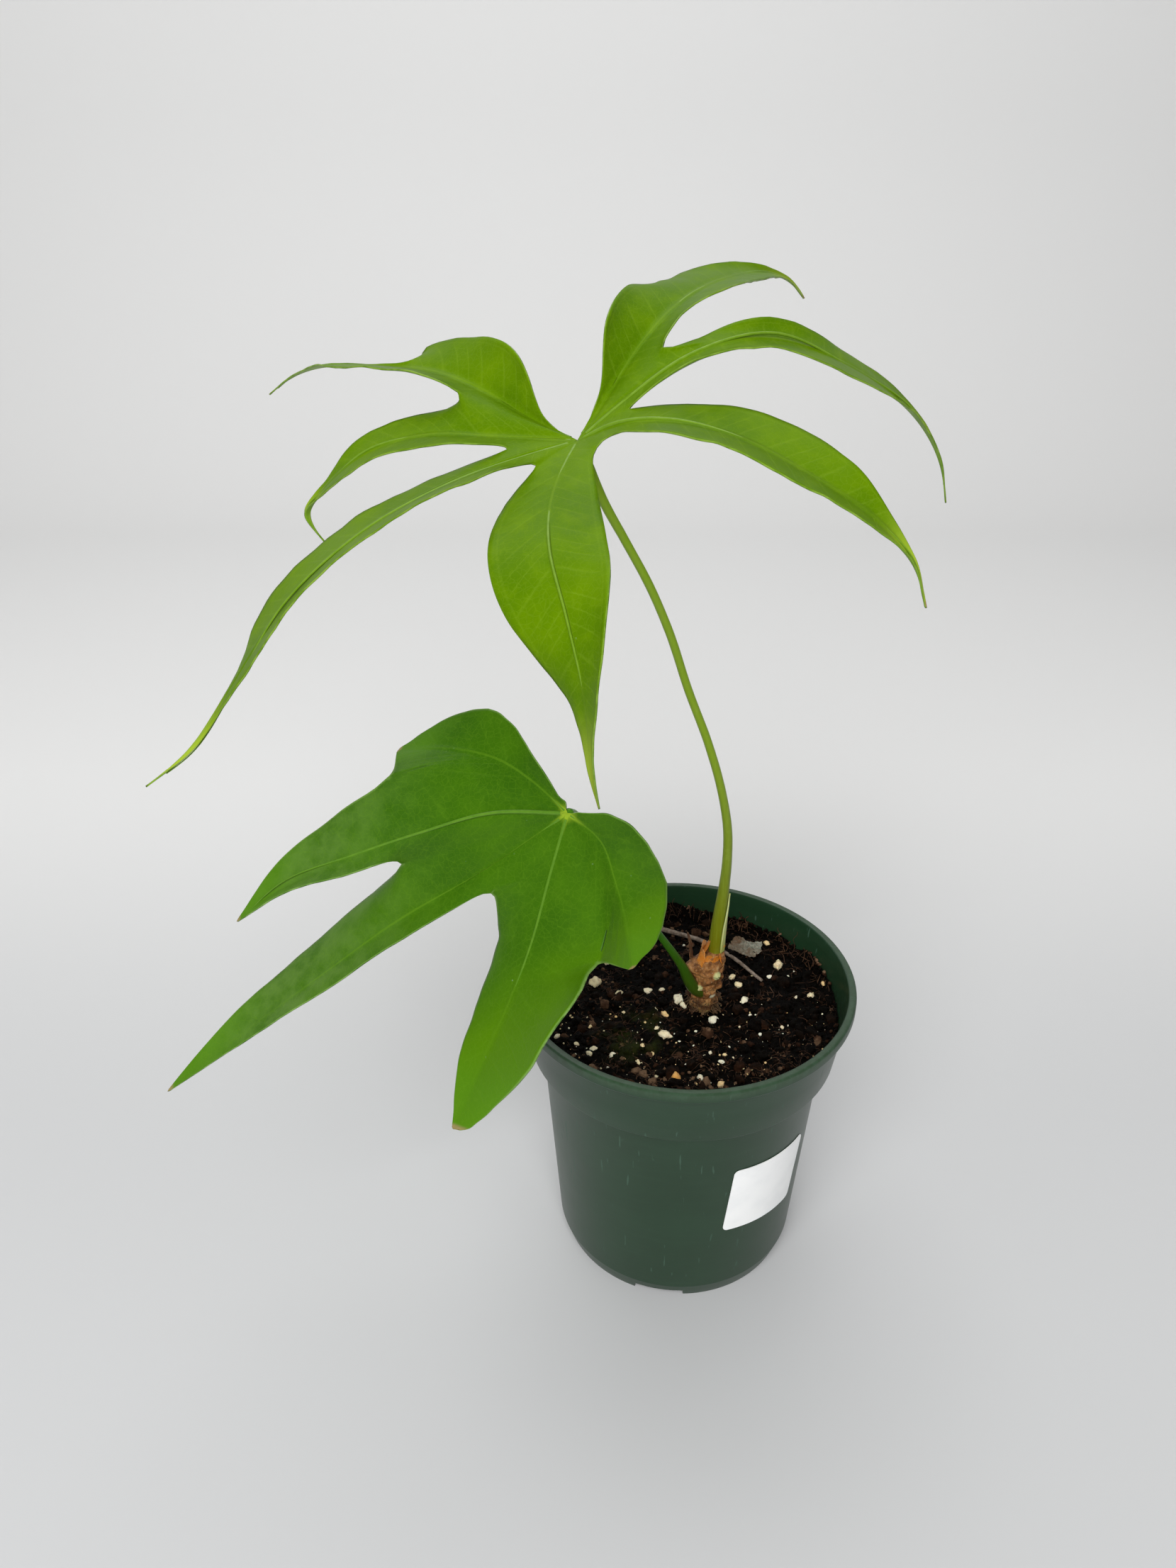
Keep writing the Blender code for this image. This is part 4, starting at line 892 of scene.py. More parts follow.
def stalkSkin(name, stops, streak, light, rough):
    # base to top: pale at the foot, then green, with a darker knee and faint lengthwise streaks
    def build(desk, place):
        streaks = desk.grain(desk.squeeze(place, 0.06), 1500.0, 3.0, 0.6)
        cloud = desk.grain(place, 220.0, 4.0, 0.6)
        fleck = desk.fall(desk.cells(place, 900.0), 0.08, 0.16) * desk.ease(desk.grain(place, 400.0), 0.5, 0.62)
        tone = desk.coats(desk.ramp(stops, desk.attribute("along")),
                          (desk.ease(streaks, 0.4, 0.75) * 0.35, streak),
                          (desk.ease(cloud, 0.55, 0.8) * 0.25, light), (fleck * 0.35, light))
        return {"Base Color": tone, "Roughness": rough + (cloud - 0.5) * 0.2,
                "height": (streaks * 0.6 + fleck, 0.25, 0.00012)}

    return newMaterial(name, build, {"Subsurface Weight": 0.12, "Subsurface Radius": (0.5, 1.0, 0.2),
                                     "Subsurface Scale": 0.002, "Specular IOR Level": 0.3,
                                     "Specular Tint": leafSheen})


stemTree = pathTree()


def growStems(name, lines, skin, sides, step, wave, waveScale=300.0, groove=0.0):
    # round stems along lines of (x, y, z, radius); step, wave and groove in mm
    return growMesh(name, curveFrom(name, lines), stemTree, {
        "Sides": sides, "Step": step * mm, "Wave": wave * mm, "Wave Scale": waveScale, "Groove": groove * mm,
        "Material": skin})


tallStalkSkin = stalkSkin(
    "tall stalk skin",
    stops=((0.0, (0.15, 0.12, 0.003)), (0.07, (0.15, 0.16, 0.004)), (0.2, (0.14, 0.19, 0.01)),
           (0.45, (0.18, 0.28, 0.012)), (0.9, (0.19, 0.31, 0.014)), (1.0, (0.17, 0.29, 0.01))),
    streak=(0.22, 0.3, 0.04), light=(0.28, 0.37, 0.07), rough=0.38)
lowStalkSkin = stalkSkin(
    "low stalk skin",
    stops=((0.0, (0.05, 0.06, 0.006)), (0.15, (0.03, 0.08, 0.004)), (0.35, (0.035, 0.14, 0.006)),
           (0.7, (0.045, 0.18, 0.008)), (1.0, (0.06, 0.19, 0.008))),
    streak=(0.015, 0.06, 0.004), light=(0.06, 0.18, 0.03), rough=0.36)
for title, stalk, skin in (("tall", tallStalk, tallStalkSkin), ("low", lowStalk, lowStalkSkin)):
    stem = growStems(title + "_stalk", [stalkRoute(stalk)], skin, 28, 0.7, 0.08, 260.0, groove=0.012)
    settle(stem, title + "_stalk", title + "_petiole", sharp=60)


def ribLines(leaf, sink=0.3, first=0.75, last=0.12, knots=40):
    # the raised back of every midrib, under the blade; first and last are its radius at the hub and the tip
    at = np.linspace(0.02, 0.96, knots)
    lines = []
    for lobe in leaf["lobes"]:
        rib, up, left = ribFrames((leaf["hub"], *lobe["rib"]), leaf["normal"], at)
        turn = turnsAt(lobe, at)
        low = rib - (up * np.cos(turn) - left * np.sin(turn)) * sink
        lines.append([(*low[i], first + (last - first) * at[i] ** 0.6) for i in range(knots)])
    return lines


for title, leaf, look in leaves:
    skin = plainGrain(title + " rib skin", *look["ribTones"], 500.0, 0.5)
    settle(growStems(title + "_leaf_ribs", ribLines(leaf), skin, 10, 1.5, 0.05), title + "_leaf")
print("stalks and ribs done")


# Pot: corner points of its half section, then turned round Z
pot = dict(
    height=102, rimRadius=54, rimDrop=3.5, collarTop=52, collarFoot=49.2, collarHeight=79.5, step=1.2,
    bodyTop=45.3, bodyFoot=40, foot=36.8, footHeight=6, footOut=1.2, footIn=2.2, well=3.4, wellDepth=0.8,
    wall=1.2, ease=0.55, slotWidth=16, slotHeight=3, slotDepth=14, slotTurn=-101, sides=128, slots=4,
)


def spaced(key):
    # "rimRadius" gives the input's name, "Rim Radius"
    return "".join(" " + letter if letter.isupper() else letter for letter in key).title()


def potTree():
    # half section from named sizes, rounded, laid out on a grid round the axis, drain slots cut out
    inputs = {spaced(key): ("Int", 1) if key in ("sides", "slots") else ("Float", 0.0) for key in pot}
    tree, desk, w = newTree("turned pot", {**inputs, "Material": ("Material", None)})
    wall = w["Wall"]
    rimFoot = w["Height"] - w["Rim Drop"]
    corners = (
        # radius, height and how strongly the corner is rounded, from the middle of the inside round the rim
        (0.0, wall, 0.0), (w["Foot"] - wall * 0.8, wall, 1.2), (w["Body Foot"] - wall, w["Foot Height"], 1.2),
        (w["Body Top"] - wall, w["Collar Height"], 1.2),
        (w["Collar Foot"] - wall, w["Collar Height"] + wall, 1.2), (w["Collar Top"] - wall, rimFoot, 1.2),
        (w["Collar Top"] - wall * 0.35, w["Height"], 1.3),
        (w["Rim Radius"], w["Height"], 1.5), (w["Rim Radius"], rimFoot, 1.1),
        (w["Collar Top"], rimFoot - w["Ease"] * 0.8, 0.7), (w["Collar Foot"], w["Collar Height"], 1.2),
        (w["Body Top"], w["Collar Height"] - w["Step"], 1.0), (w["Body Foot"], w["Foot Height"], 4.0),
        (w["Foot"] + w["Foot Out"], 0.0, 1.4), (w["Foot"] - w["Foot In"], 0.0, 0.8),
        (w["Foot"] - w["Well"], w["Well Depth"], 0.8), (0.0, w["Well Depth"], 0.0))
    number = desk.node("GeometryNodeInputIndex")

    def pick(kind, values):
        return desk.node("GeometryNodeIndexSwitch", {"data_type": kind, "cases": len(values)},
                         {"Index": number, **{str(i): value for i, value in enumerate(values)}})

    place = pick("VECTOR", [desk.vector(X=radius, Z=height) for radius, height, _ in corners])
    ease = pick("FLOAT", [rounding for _, _, rounding in corners]) * w["Ease"]
    shaped = desk.moved(desk.node("GeometryNodeMeshLine", {}, {"Count": len(corners)}), Position=place)
    curve = desk.node("GeometryNodeMeshToCurve", {}, {0: shaped})
    eased = desk.node("GeometryNodeFilletCurve", {"mode": "POLY"},
                      {"Curve": curve, "Count": 5, "Radius": ease, "Limit Radius": True})
    fine = desk.node("GeometryNodeSubdivideCurve", {}, {"Curve": eased, "Cuts": 1})
    count = desk.node("GeometryNodeAttributeDomainSize", {"component": "CURVE"}, {"Geometry": fine})
    grid = desk.node("GeometryNodeMeshGrid", {}, {"Vertices X": w["Sides"] + 1.0, "Vertices Y": count})
    row = desk.sum("FLOORED_MODULO", number, count)
    column = desk.sum("FLOOR", (number + 0.5) / count)
    spot = desk.node("GeometryNodeSampleIndex", {"data_type": "FLOAT_VECTOR", "domain": "POINT"},
                     {"Geometry": fine, "Value": desk.position(), "Index": row})

    def around(reach, angle, **more):
        return desk.vector(X=reach * desk.sum("COSINE", angle), Y=reach * desk.sum("SINE", angle), **more)

    turned = around(desk.parts(spot, 0), column / w["Sides"] * (2 * math.pi), Z=desk.parts(spot, 2))
    body = desk.node("GeometryNodeMergeByDistance", {},
                     {"Geometry": desk.moved(grid, Position=turned), "Distance": 0.00001})
    # drain slots: blocks on a ring of points
    size = desk.vector(X=w["Slot Depth"], Y=w["Slot Width"], Z=w["Slot Height"] * 2.0)
    block = desk.node("GeometryNodeMeshCube", {}, {"Size": size})
    ring = desk.node("GeometryNodeMeshLine", {}, {"Count": w["Slots"]})
    slotAngle = number * (2 * math.pi) / w["Slots"] + w["Slot Turn"]
    blocks = desk.node("GeometryNodeInstanceOnPoints", {}, {
        "Points": desk.moved(ring, Position=around(w["Foot"], slotAngle)), "Instance": block,
        "Rotation": desk.vector(Z=slotAngle)})
    solidBlocks = desk.node("GeometryNodeRealizeInstances", {}, {0: blocks})
    cut = desk.node("GeometryNodeMeshBoolean", {"operation": "DIFFERENCE", "solver": "EXACT"},
                    {"Mesh 1": body, "Mesh 2": solidBlocks})
    endTree(desk, cut, w["Material"])
    return tree


@asMaterial("green pot plastic", {"Specular IOR Level": 0.45})
def potSkin(desk, place):
    # dark green moulded plastic: satin, faint flow lines, a paler rim top that is partly a painted highlight
    # and partly chalky scuffs, soil splashes inside
    x, y, z = (desk.parts(place, axis) for axis in range(3))
    radius = desk.sum("SQRT", x * x + y * y)
    cloud = desk.grain(place, 45.0, 4.0, 0.6)
    flow = desk.grain(desk.squeeze(place, 9.0), 60.0, 3.0, 0.55)
    fine = desk.grain(place, 2200.0, 2.0, 0.6)
    rimSheenAndWear = desk.ease(z, 0.0985, 0.101) * desk.ease(radius, 0.0515, 0.0525)
    wornEdge = desk.ease(desk.grain(place, 420.0, 4.0, 0.7), 0.42, 0.62)
    scratch = desk.ease(desk.grain(desk.squeeze(place, 0.12), 900.0, 2.0, 0.4), 0.69, 0.74)
    nick = desk.fall(desk.cells(place, 120.0), 0.018, 0.03) * desk.ease(z, 0.09, 0.1)
    inside = desk.ease(radius - z * 0.148, 0.0371, 0.0367) * desk.ease(z, 0.088, 0.0895)
    splash = desk.ease(desk.grain(place, 260.0, 5.0, 0.7), 0.42, 0.66)
    grime = desk.ease(z, 0.0975, 0.0895) * splash * inside
    plain = desk.blend(desk.ease(cloud, 0.35, 0.7), (0.0095, 0.033, 0.0135), (0.012, 0.039, 0.017))
    tone = desk.coats(plain, (desk.ease(flow, 0.45, 0.8) * 0.25, (0.018, 0.05, 0.024)),
                      # the rim's top painted paler: partly a painted highlight, partly chalky wear
                      (rimSheenAndWear * 0.55, (0.036, 0.066, 0.034)),
                      (rimSheenAndWear * wornEdge * 0.3, (0.05, 0.1, 0.06)),
                      (scratch * 0.3, (0.1, 0.19, 0.14)), (nick * 0.6, (0.3, 0.42, 0.36)),
                      (grime * 0.7, (0.012, 0.012, 0.006)))
    rough = 0.36 + (cloud - 0.5) * 0.16 + scratch * 0.15 + grime * 0.3 + rimSheenAndWear * 0.08
    return {"Base Color": tone, "Roughness": rough, "height": (fine * 0.6 + flow * 0.4, 0.12, 0.0001)}


potSizes = {spaced(key): value * mm for key, value in pot.items()}
potBody = growMesh("pot_shell", plainMesh("seed", [(0, 0, 0)], []), potTree(), {
    **potSizes, "Sides": pot["sides"], "Slots": pot["slots"], "Slot Turn": math.radians(pot["slotTurn"]),
    "Material": potSkin})
turnedAway(potBody)
settle(potBody, "pot_plastic", "pot", sharp=50)
print("pot", len(potBody.data.polygons), "faces")


# Soil: level and relief as on the CAD body, finer clods over them, a crust up the back wall
soil = dict(
    level=90, relief=1.6, grain=9, slope=0.012, edge=49.3, rings=84, ringEase=0.8, sides=340, clod=1.15,
    clodSize=3.7, crumbLump=0.45, crumbSize=1.15, crustWidth=3.0, crustFrom=90.5, stem=(6.5, 0.0),
    mound=1.3, moundReach=8, scatterReach=48.2,
    crust=(
        (-180, 91), (-30, 91), (0, 91.5), (10, 93), (17, 94.6), (24, 95.2), (29, 94.6), (35, 93),
        (44, 94.4), (52, 93), (60, 94.6), (68, 93.6), (76, 94), (82, 95), (88, 96), (92, 97), (98, 96),
        (106, 94.5), (115, 93.5), (130, 92), (150, 91), (180, 91)),
    side=((48.8, 88.6), (47.7, 80.6), (43.8, 79.2), (38.5, 6.0), (35.3, 1.5)),
)


def soilLevel(x, y):
    rough = noise.noise(Vector((x, y, 3)) / soil["grain"])
    fine = noise.noise(Vector((x, y, 9)) / (0.4 * soil["grain"]))
    return soil["level"] + soil["relief"] * (rough + 0.4 * fine) - soil["slope"] * x


def crustTop(azimuth):
    # how high the crust reaches up the pot's wall there
    turns, heights = zip(*soil["crust"])
    ragged = noise.noise(Vector((azimuth / 2.6, 0, 2))) + 0.6 * noise.noise(Vector((azimuth / 1.1, 4, 2)))
    return float(np.interp(azimuth, turns, heights)) + 0.7 * ragged


def soilTop(x, y):
    # the finer surface: rounded clods parted by dark cracks, and a crust against the pot
    level = soilLevel(x, y)
    clods = noise.voronoi(Vector((x, y, 0.5 * level)) / soil["clodSize"])[0]
    crumbs = noise.voronoi(Vector((y, x, level)) / soil["crumbSize"])[0]
    lump = soil["clod"] * (0.45 - clods[0] * 1.1) + soil["crumbLump"] * (0.4 - crumbs[0])
    near = max(0.0, 1 - (soil["edge"] - math.hypot(x, y)) / soil["crustWidth"]) ** 1.5
    crust = near * (crustTop(math.degrees(math.atan2(y, x))) - soil["crustFrom"])
    fromStem = math.hypot(x - soil["stem"][0], y - soil["stem"][1])
    return level + lump + crust + soil["mound"] * math.exp(-((fromStem / soil["moundReach"]) ** 2))


def makeSoil():
    # top, side and base of the bed; the faces of the top come first
    rings, sides = soil["rings"], soil["sides"]
    turns = [2 * math.pi * j / sides for j in range(sides)]
    points = [(0, 0, soilTop(0, 0))]
    for i in range(1, rings + 1):
        for turn in turns:
            x, y, _ = ringPoint(soil["edge"] * (i / rings) ** soil["ringEase"], turn)
            points.append((x, y, soilTop(x, y)))
    faces = discFaces(rings, sides)
    topFaces = len(faces)
    last = 1 + (rings - 1) * sides
    for radius, height in soil["side"]:
        first = len(points)
        points += [ringPoint(radius, turn, height) for turn in turns]
        faces += bandFaces(last, first, sides)
        last = first
    faces.append(tuple(last + j for j in reversed(range(sides))))
    return points, faces, topFaces


@asMaterial("peat", {"Specular IOR Level": 0.12})
def peatSkin(desk, place):
    # dark peat: per crumb tone where there is one, fibrous grain, a little green where algae grow
    peatTones = ((0.0, (0.0012, 0.0008, 0.0005)), (0.5, (0.0025, 0.0016, 0.001)),
                 (0.68, (0.008, 0.0042, 0.0025)), (0.82, (0.025, 0.0105, 0.0055)),
                 (0.93, (0.058, 0.028, 0.015)), (1.0, (0.16, 0.095, 0.055)))
    x, y, z = (desk.parts(place, axis) for axis in range(3))
    cloud = desk.grain(place, 260.0, 5.0, 0.65)
    fine = desk.grain(place, 1700.0, 4.0, 0.7)
    # browner at the front and up the wall; blacker at the right, a painted shade
    brown = desk.ease(y, -0.018, -0.042) * 0.26 + desk.ease(z, 0.0915, 0.094) * 0.36
    paintedShadeRight = desk.ease(x, 0.012, 0.034) * desk.ease(y, -0.02, 0.0) * 0.2
    patch = (desk.grain(place, 95.0, 2.0, 0.5) - 0.5) * 0.5
    tone = desk.attribute("tone") + brown - paintedShadeRight + patch
    middle = desk.distance(place, (-0.015, -0.016, 0.09))
    film = desk.ease(desk.grain(place, 90.0, 3.0, 0.6), 0.42, 0.62)
    algae = desk.ease(middle, 0.017, 0.004, 0.0, 0.5) * film
    colour = desk.coats(desk.ramp(peatTones, tone + (cloud - 0.5) * 0.5),
                        (desk.ease(fine, 0.55, 0.8) * 0.35, (0.04, 0.02, 0.011)),
                        (desk.ease(fine, 0.5, 0.25) * 0.6, (0.001, 0.0007, 0.0005)),
                        (algae, (0.03, 0.038, 0.006)))
    return {"Base Color": colour, "Roughness": 0.82 + (cloud - 0.5) * 0.3,
            "height": (fine + cloud, 1.0, 0.0005)}


soilPoints, soilFaces, topFaces = makeSoil()
soilBody = meshFrom("soil_bed", soilPoints, soilFaces, peatSkin)
turnedAway(soilBody)
settle(soilBody, "potting_soil", "soil", sharp=70)
print("soil", len(soilBody.data.polygons), "faces")
soilTree = BVHTree.FromPolygons([Vector(p) for p in soilPoints], soilFaces[:topFaces])


def groundAt(x, y):
    hit = soilTree.ray_cast(Vector((x, y, 200)), Vector((0, 0, -1)))[0]
    return hit.z if hit else soil["level"]


def crumbTree():
    # irregular crumbs scattered over the soil, each with its own size, turn and tone
    tree, desk, w = newTree("scattered crumbs", {
        "Spacing": ("Float", 0.001), "Density": ("Float", 1.0e5), "Small": ("Float", 0.0003),
        "Large": ("Float", 0.001), "Rarity": ("Float", 3.0), "Facets": ("Int", 1), "Sink": ("Float", 0.0),
        "Seed": ("Int", 1), "Tone Low": ("Float", 0.0), "Tone High": ("Float", 1.0),
        "Material": ("Material", None)})
    spots = desk.node("GeometryNodeDistributePointsOnFaces", {"distribute_method": "POISSON"},
                      {"Mesh": w["Geometry"], "Distance Min": w["Spacing"], "Density Max": w["Density"],
                       "Seed": w["Seed"]})
    shapes = desk.tree.nodes.new("GeometryNodeGeometryToInstance")
    forms = 6
    for number in range(forms):
        ball = desk.node("GeometryNodeMeshIcoSphere", {}, {"Radius": 1.0, "Subdivisions": w["Facets"]})
        place = desk.position()
        aside = desk.node("ShaderNodeVectorMath", {"operation": "ADD"},
                          {0: place, 1: (7.3 * number, 3.1, number)})
        bulge = desk.grain(aside, 1.15, 2.0, 0.6) * 1.9 + 0.05
        lump = desk.moved(ball, Position=desk.scaled(place, bulge))
        desk.tree.links.new(lump.socket, shapes.inputs[0])
    size = desk.drawn("FLOAT", 0.0, 1.0, 11) ** w["Rarity"] * (w["Large"] - w["Small"]) + w["Small"]
    squash = desk.drawn("FLOAT_VECTOR", (0.75, 0.6, 0.5), (1.25, 1.0, 0.85), 12)
    placed = desk.node("GeometryNodeInstanceOnPoints", {}, {
        "Points": spots, "Instance": Wire(desk, shapes.outputs[0]), "Pick Instance": True,
        "Instance Index": desk.drawn("INT", 0, forms - 1, 14),
        "Rotation": desk.drawn("FLOAT_VECTOR", (-0.7, -0.7, 0.0), (0.7, 0.7, 6.28), 13),
        "Scale": desk.scaled(squash, size)})
    seated = desk.moved(placed, Offset=desk.vector(Z=size * w["Sink"]))
    tone = desk.drawn("FLOAT", w["Tone Low"], w["Tone High"], 15)
    endTree(desk, desk.stored(seated, "tone", tone, "INSTANCE"), w["Material"])
    return tree


def soilPatch(inner, outer, turnFrom=-180.0, turnTo=180.0):
    # the part of the soil's top between two radii, as a source for scattering
    kept = []
    for face in soilFaces[:topFaces]:
        x, y = (sum(soilPoints[i][k] for i in face) / len(face) for k in (0, 1))
        if inner <= math.hypot(x, y) <= outer and turnFrom <= math.degrees(math.atan2(y, x)) <= turnTo:
            kept.append(face)
    return plainMesh("patch", soilPoints, kept)


crustBand = dict(turns=(-20, 152, 0.8), rows=6, foot=90, least=91.2, under=0.6, inset=0.75, slant=0.35)


def crustStrip():
    # a band just inside the pot's wall, from the soil up to the crust's ragged top
    rows, foot = crustBand["rows"], crustBand["foot"]
    turns = np.arange(*crustBand["turns"])
    points = []
    for azimuth in turns:
        top = max(crustBand["least"], crustTop(azimuth) - crustBand["under"])
        for i in range(rows + 1):
            height = foot + (top - foot) * i / rows
            reach = wallRadius(height) - crustBand["inset"] - crustBand["slant"] * (1 - i / (rows + 1))
            points.append(ringPoint(reach, math.radians(azimuth), height))
    return plainMesh("strip", points, gridFaces(len(turns) - 1, rows))


def wallRadius(height):
    # inner face of the pot's collar
    share = (height - pot["collarHeight"]) / (pot["height"] - pot["rimDrop"] - pot["collarHeight"])
    return pot["collarFoot"] + (pot["collarTop"] - pot["collarFoot"]) * share - pot["wall"]


def scatter(name, source, skin, sharp=80):
    # crumbs over the source, with the values given under their name
    inputs = {spaced(key): value * mm if key in ("spacing", "small", "large") else value
              for key, value in scattered[name].items()}
    piece = growMesh(name, source, crumbs, {**inputs, "Material": skin})
    settle(piece, "potting_soil", sharp=sharp)
    print(name, len(piece.data.polygons), "faces")


crumbs = crumbTree()
scattered = {
    "soil_clods": dict(spacing=2.2, density=1.2e5, small=0.7, large=2.3, rarity=2.2, facets=3, sink=0.1,
                       seed=1, toneLow=0.05, toneHigh=0.95),
    "soil_crumbs": dict(spacing=0.8, density=7.0e5, small=0.2, large=0.8, rarity=2.0, facets=1, sink=0.3,
                        seed=2, toneLow=0.0, toneHigh=1.0),
    "soil_crust": dict(spacing=0.62, density=1.6e6, small=0.3, large=0.85, rarity=1.5, facets=2, sink=0.0,
                       seed=3, toneLow=0.2, toneHigh=0.95),
    "perlite_specks": dict(spacing=1.9, density=9.0e4, small=0.1, large=0.42, rarity=2.4, facets=2, sink=0.9,
                           seed=8, toneLow=0.0, toneHigh=0.75),
}
wholeTop = soilPatch(0, soil["scatterReach"])
scatter("soil_clods", wholeTop, peatSkin)
scatter("soil_crumbs", wholeTop, peatSkin)
scatter("soil_crust", crustStrip(), peatSkin)

# Perlite: grains where the photo shows them, as (x, y, radius, warmth), and scattered specks,
# between two radii and two turns
perlite = dict(
    grains=(
        (-28, 10, 1.6, 0.35), (-20.3, 5.1, 0.86, 0.3), (-11.3, 6.6, 1, 0.2), (-6.3, 7, 0.57, 0.2),
        (-1.2, 1.8, 1.25, 0.15), (0.1, -0.9, 0.8, 0.2), (-9.4, -3.6, 0.8, 0.35), (-6.2, -5.8, 0.85, 0.7),
        (-9, -12.7, 0.57, 0.3), (-6.7, -16.4, 1.15, 0.25), (-13.7, -19.5, 0.51, 0.5),
        (-10.9, -22.7, 0.57, 0.6), (-4.3, -34, 1.1, 0.95), (9.2, -7.4, 1.05, 0.1), (19.9, 0.9, 0.9, 0.15),
        (21.3, -4.5, 0.43, 0.1), (18.8, 8.6, 0.9, 0.35), (17.3, 13.8, 0.85, 0.35), (33.6, 21, 1.15, 0.35),
        (31.2, 32.6, 0.85, 0.55), (30.1, 15.2, 0.63, 0.05), (37.4, 4.9, 0.4, 0.2), (42, 4.9, 0.75, 0.3),
        (45, 5.1, 0.4, 0.1), (47, 1.9, 0.6, 0.8), (47.3, 0.1, 0.4, 0), (46.9, 9.9, 0.6, 0.65),
        (23.3, -13.9, 0.46, 0), (6.9, -23.4, 0.51, 0.2), (5.1, -25.4, 0.55, 0.25),
        (11.2, -23.8, 0.43, 0.5), (9.8, -27.4, 0.57, 0.05), (3.2, -33.2, 0.8, 0.15),
        (8.9, -36.6, 0.85, 0.6), (-30.1, -24.6, 0.7, 0.25), (-28.8, -22.6, 0.63, 0.2),
        (-23, -25, 0.72, 0.15), (-15.4, -27.2, 0.68, 0.35), (-34.2, -18.9, 0.6, 0.3),
        (-29.8, -10.1, 0.5, 0.5), (-10, -31.7, 0.5, 0.3), (30.8, -9.7, 0.5, 0.3), (2.1, -18.9, 0.34, 0),
        (-35.4, -6.7, 0.34, 0.5), (-19.1, -4, 0.4, 0.4), (3.5, -11.8, 0.4, 0.1), (15.9, -8, 0.34, 0.2),
        (2.7, 32.6, 0.35, 0), (11.6, -17.7, 0.26, 0.2), (13, -20.1, 0.26, 0.1),
        (-2.2, -17.7, 0.26, 0), (-3.6, -14.3, 0.23, 0), (35.4, -26.2, 0.25, 0),
        (38.4, 17.1, 0.26, 0), (36.3, 15.4, 0.25, 0.1), (17.4, -9.3, 0.28, 0.3), (-6.6, 12.8, 0.3, 0.3),
        (-36.5, -11, 0.26, 0.2), (-18.6, -35.9, 0.3, 0.5), (-12.5, -9.5, 0.3, 0.6),
        (24.5, 17, 0.3, 0.4), (-24, 22, 0.8, 0.3), (-36, 14, 0.9, 0.2), (-14, 30, 0.7, 0.4),
        (-30, 30, 0.6, 0.1), (-5, 44, 0.7, 0.2), (-20, 40, 0.5, 0.5), (-42, 2, 0.7, 0.3),
        (-40, -16, 0.6, 0.2)),
    specks=(3, 48, -180, 10), stretch=0.4, pores=0.2, larger=1.28, seed=21,
)


def makePerlite(skin):
    chance = random.Random(perlite["seed"])
    mesh = bmesh.new()
    shade = mesh.verts.layers.float.new("tone")
    for number, (x, y, radius, warmth) in enumerate(perlite["grains"]):
        radius *= perlite["larger"]
        height = groundAt(x, y) + 0.45 * radius
        long = 1 + perlite["stretch"] * chance.random()
        form = Matrix.Diagonal((radius * long, radius * chance.uniform(0.75, 1),
                                radius * chance.uniform(0.7, 0.95), 1))
        spin = Matrix.Rotation(chance.uniform(0, math.pi), 4, "Z") @ Matrix.Rotation(
            chance.uniform(-0.4, 0.4), 4, "X")
        seat = Matrix.Translation((x, y, height)) @ spin @ form
        made = bmesh.ops.create_icosphere(mesh, subdivisions=3 if radius > 0.45 else 2, radius=1)["verts"]
        for vertex in made:
            pores = perlite["pores"] * rumple(vertex.co, 0.28, number)
            push = 1 + 0.4 * rumple(vertex.co, 0.75, number * 3.7) + pores
            corner = 0.2 * (abs(vertex.co.x) + abs(vertex.co.y) + abs(vertex.co.z) - 1.5)
            vertex.co = (seat @ (vertex.co * (push - corner))) * mm
            vertex[shade] = warmth + chance.uniform(-0.03, 0.03)
    data = bpy.data.meshes.new("perlite_grains")
    mesh.to_mesh(data)
    mesh.free()
    data.materials.append(skin)
    return showObject("perlite_grains", data)


@asMaterial("perlite", {"Subsurface Weight": 0.1, "Subsurface Scale": 0.001})
def perliteSkin(desk, place):
    warmTones = ((0.0, (0.74, 0.72, 0.58)), (0.35, (0.74, 0.62, 0.38)), (0.7, (0.74, 0.5, 0.22)),
                 (1.0, (0.7, 0.34, 0.08)))
    cloud = desk.grain(place, 700.0, 4.0, 0.65)
    pores = desk.cells(place, 2300.0)
    soiled = desk.ease(desk.grain(place, 420.0, 5.0, 0.7), 0.54, 0.72) * 0.5
    colour = desk.coats(desk.ramp(warmTones, desk.attribute("tone") + (cloud - 0.5) * 0.35),
                        (soiled, (0.16, 0.1, 0.055)), (desk.ease(pores, 0.3, 0.1) * 0.4, (0.25, 0.18, 0.1)))
    return {"Base Color": colour, "Roughness": 0.75 + (cloud - 0.5) * 0.2,
            "height": (pores + cloud, 0.7, 0.0002)}


grains = makePerlite(perliteSkin)
settle(grains, "potting_soil", sharp=75)
print("perlite_grains", len(grains.data.polygons), "faces")
scatter("perlite_specks", soilPatch(*perlite["specks"]), perliteSkin, sharp=75)

# Fibres: short bent roots and bark threads lying on the soil, more of them at the back wall.
# hairs: single ones up the wall, as (azimuth, top, radius)
fibres = dict(
    clumps=95, threads=13, spread=1.9, reach=46.5, lengths=(1.2, 4.5), radii=(0.035, 0.1),
    loose=60, looseLength=9, looseReach=47, tufts=170, tuftTurns=(-5, 135), tuftLengths=(1.2, 4),
    tuftReach=46.8, tuftFoot=91.5, thickRadii=(0.06, 0.16), wall=48.4, knots=7, hairFoot=91,
    hairReach=48.2, hairLean=0.9,
    hairs=((35, 99.0, 0.1), (62, 96.5, 0.2), (59, 95.5, 0.22), (44, 96.0, 0.14), (90, 98.2, 0.12),
           (97, 97.4, 0.1)),
    seed=31,
)


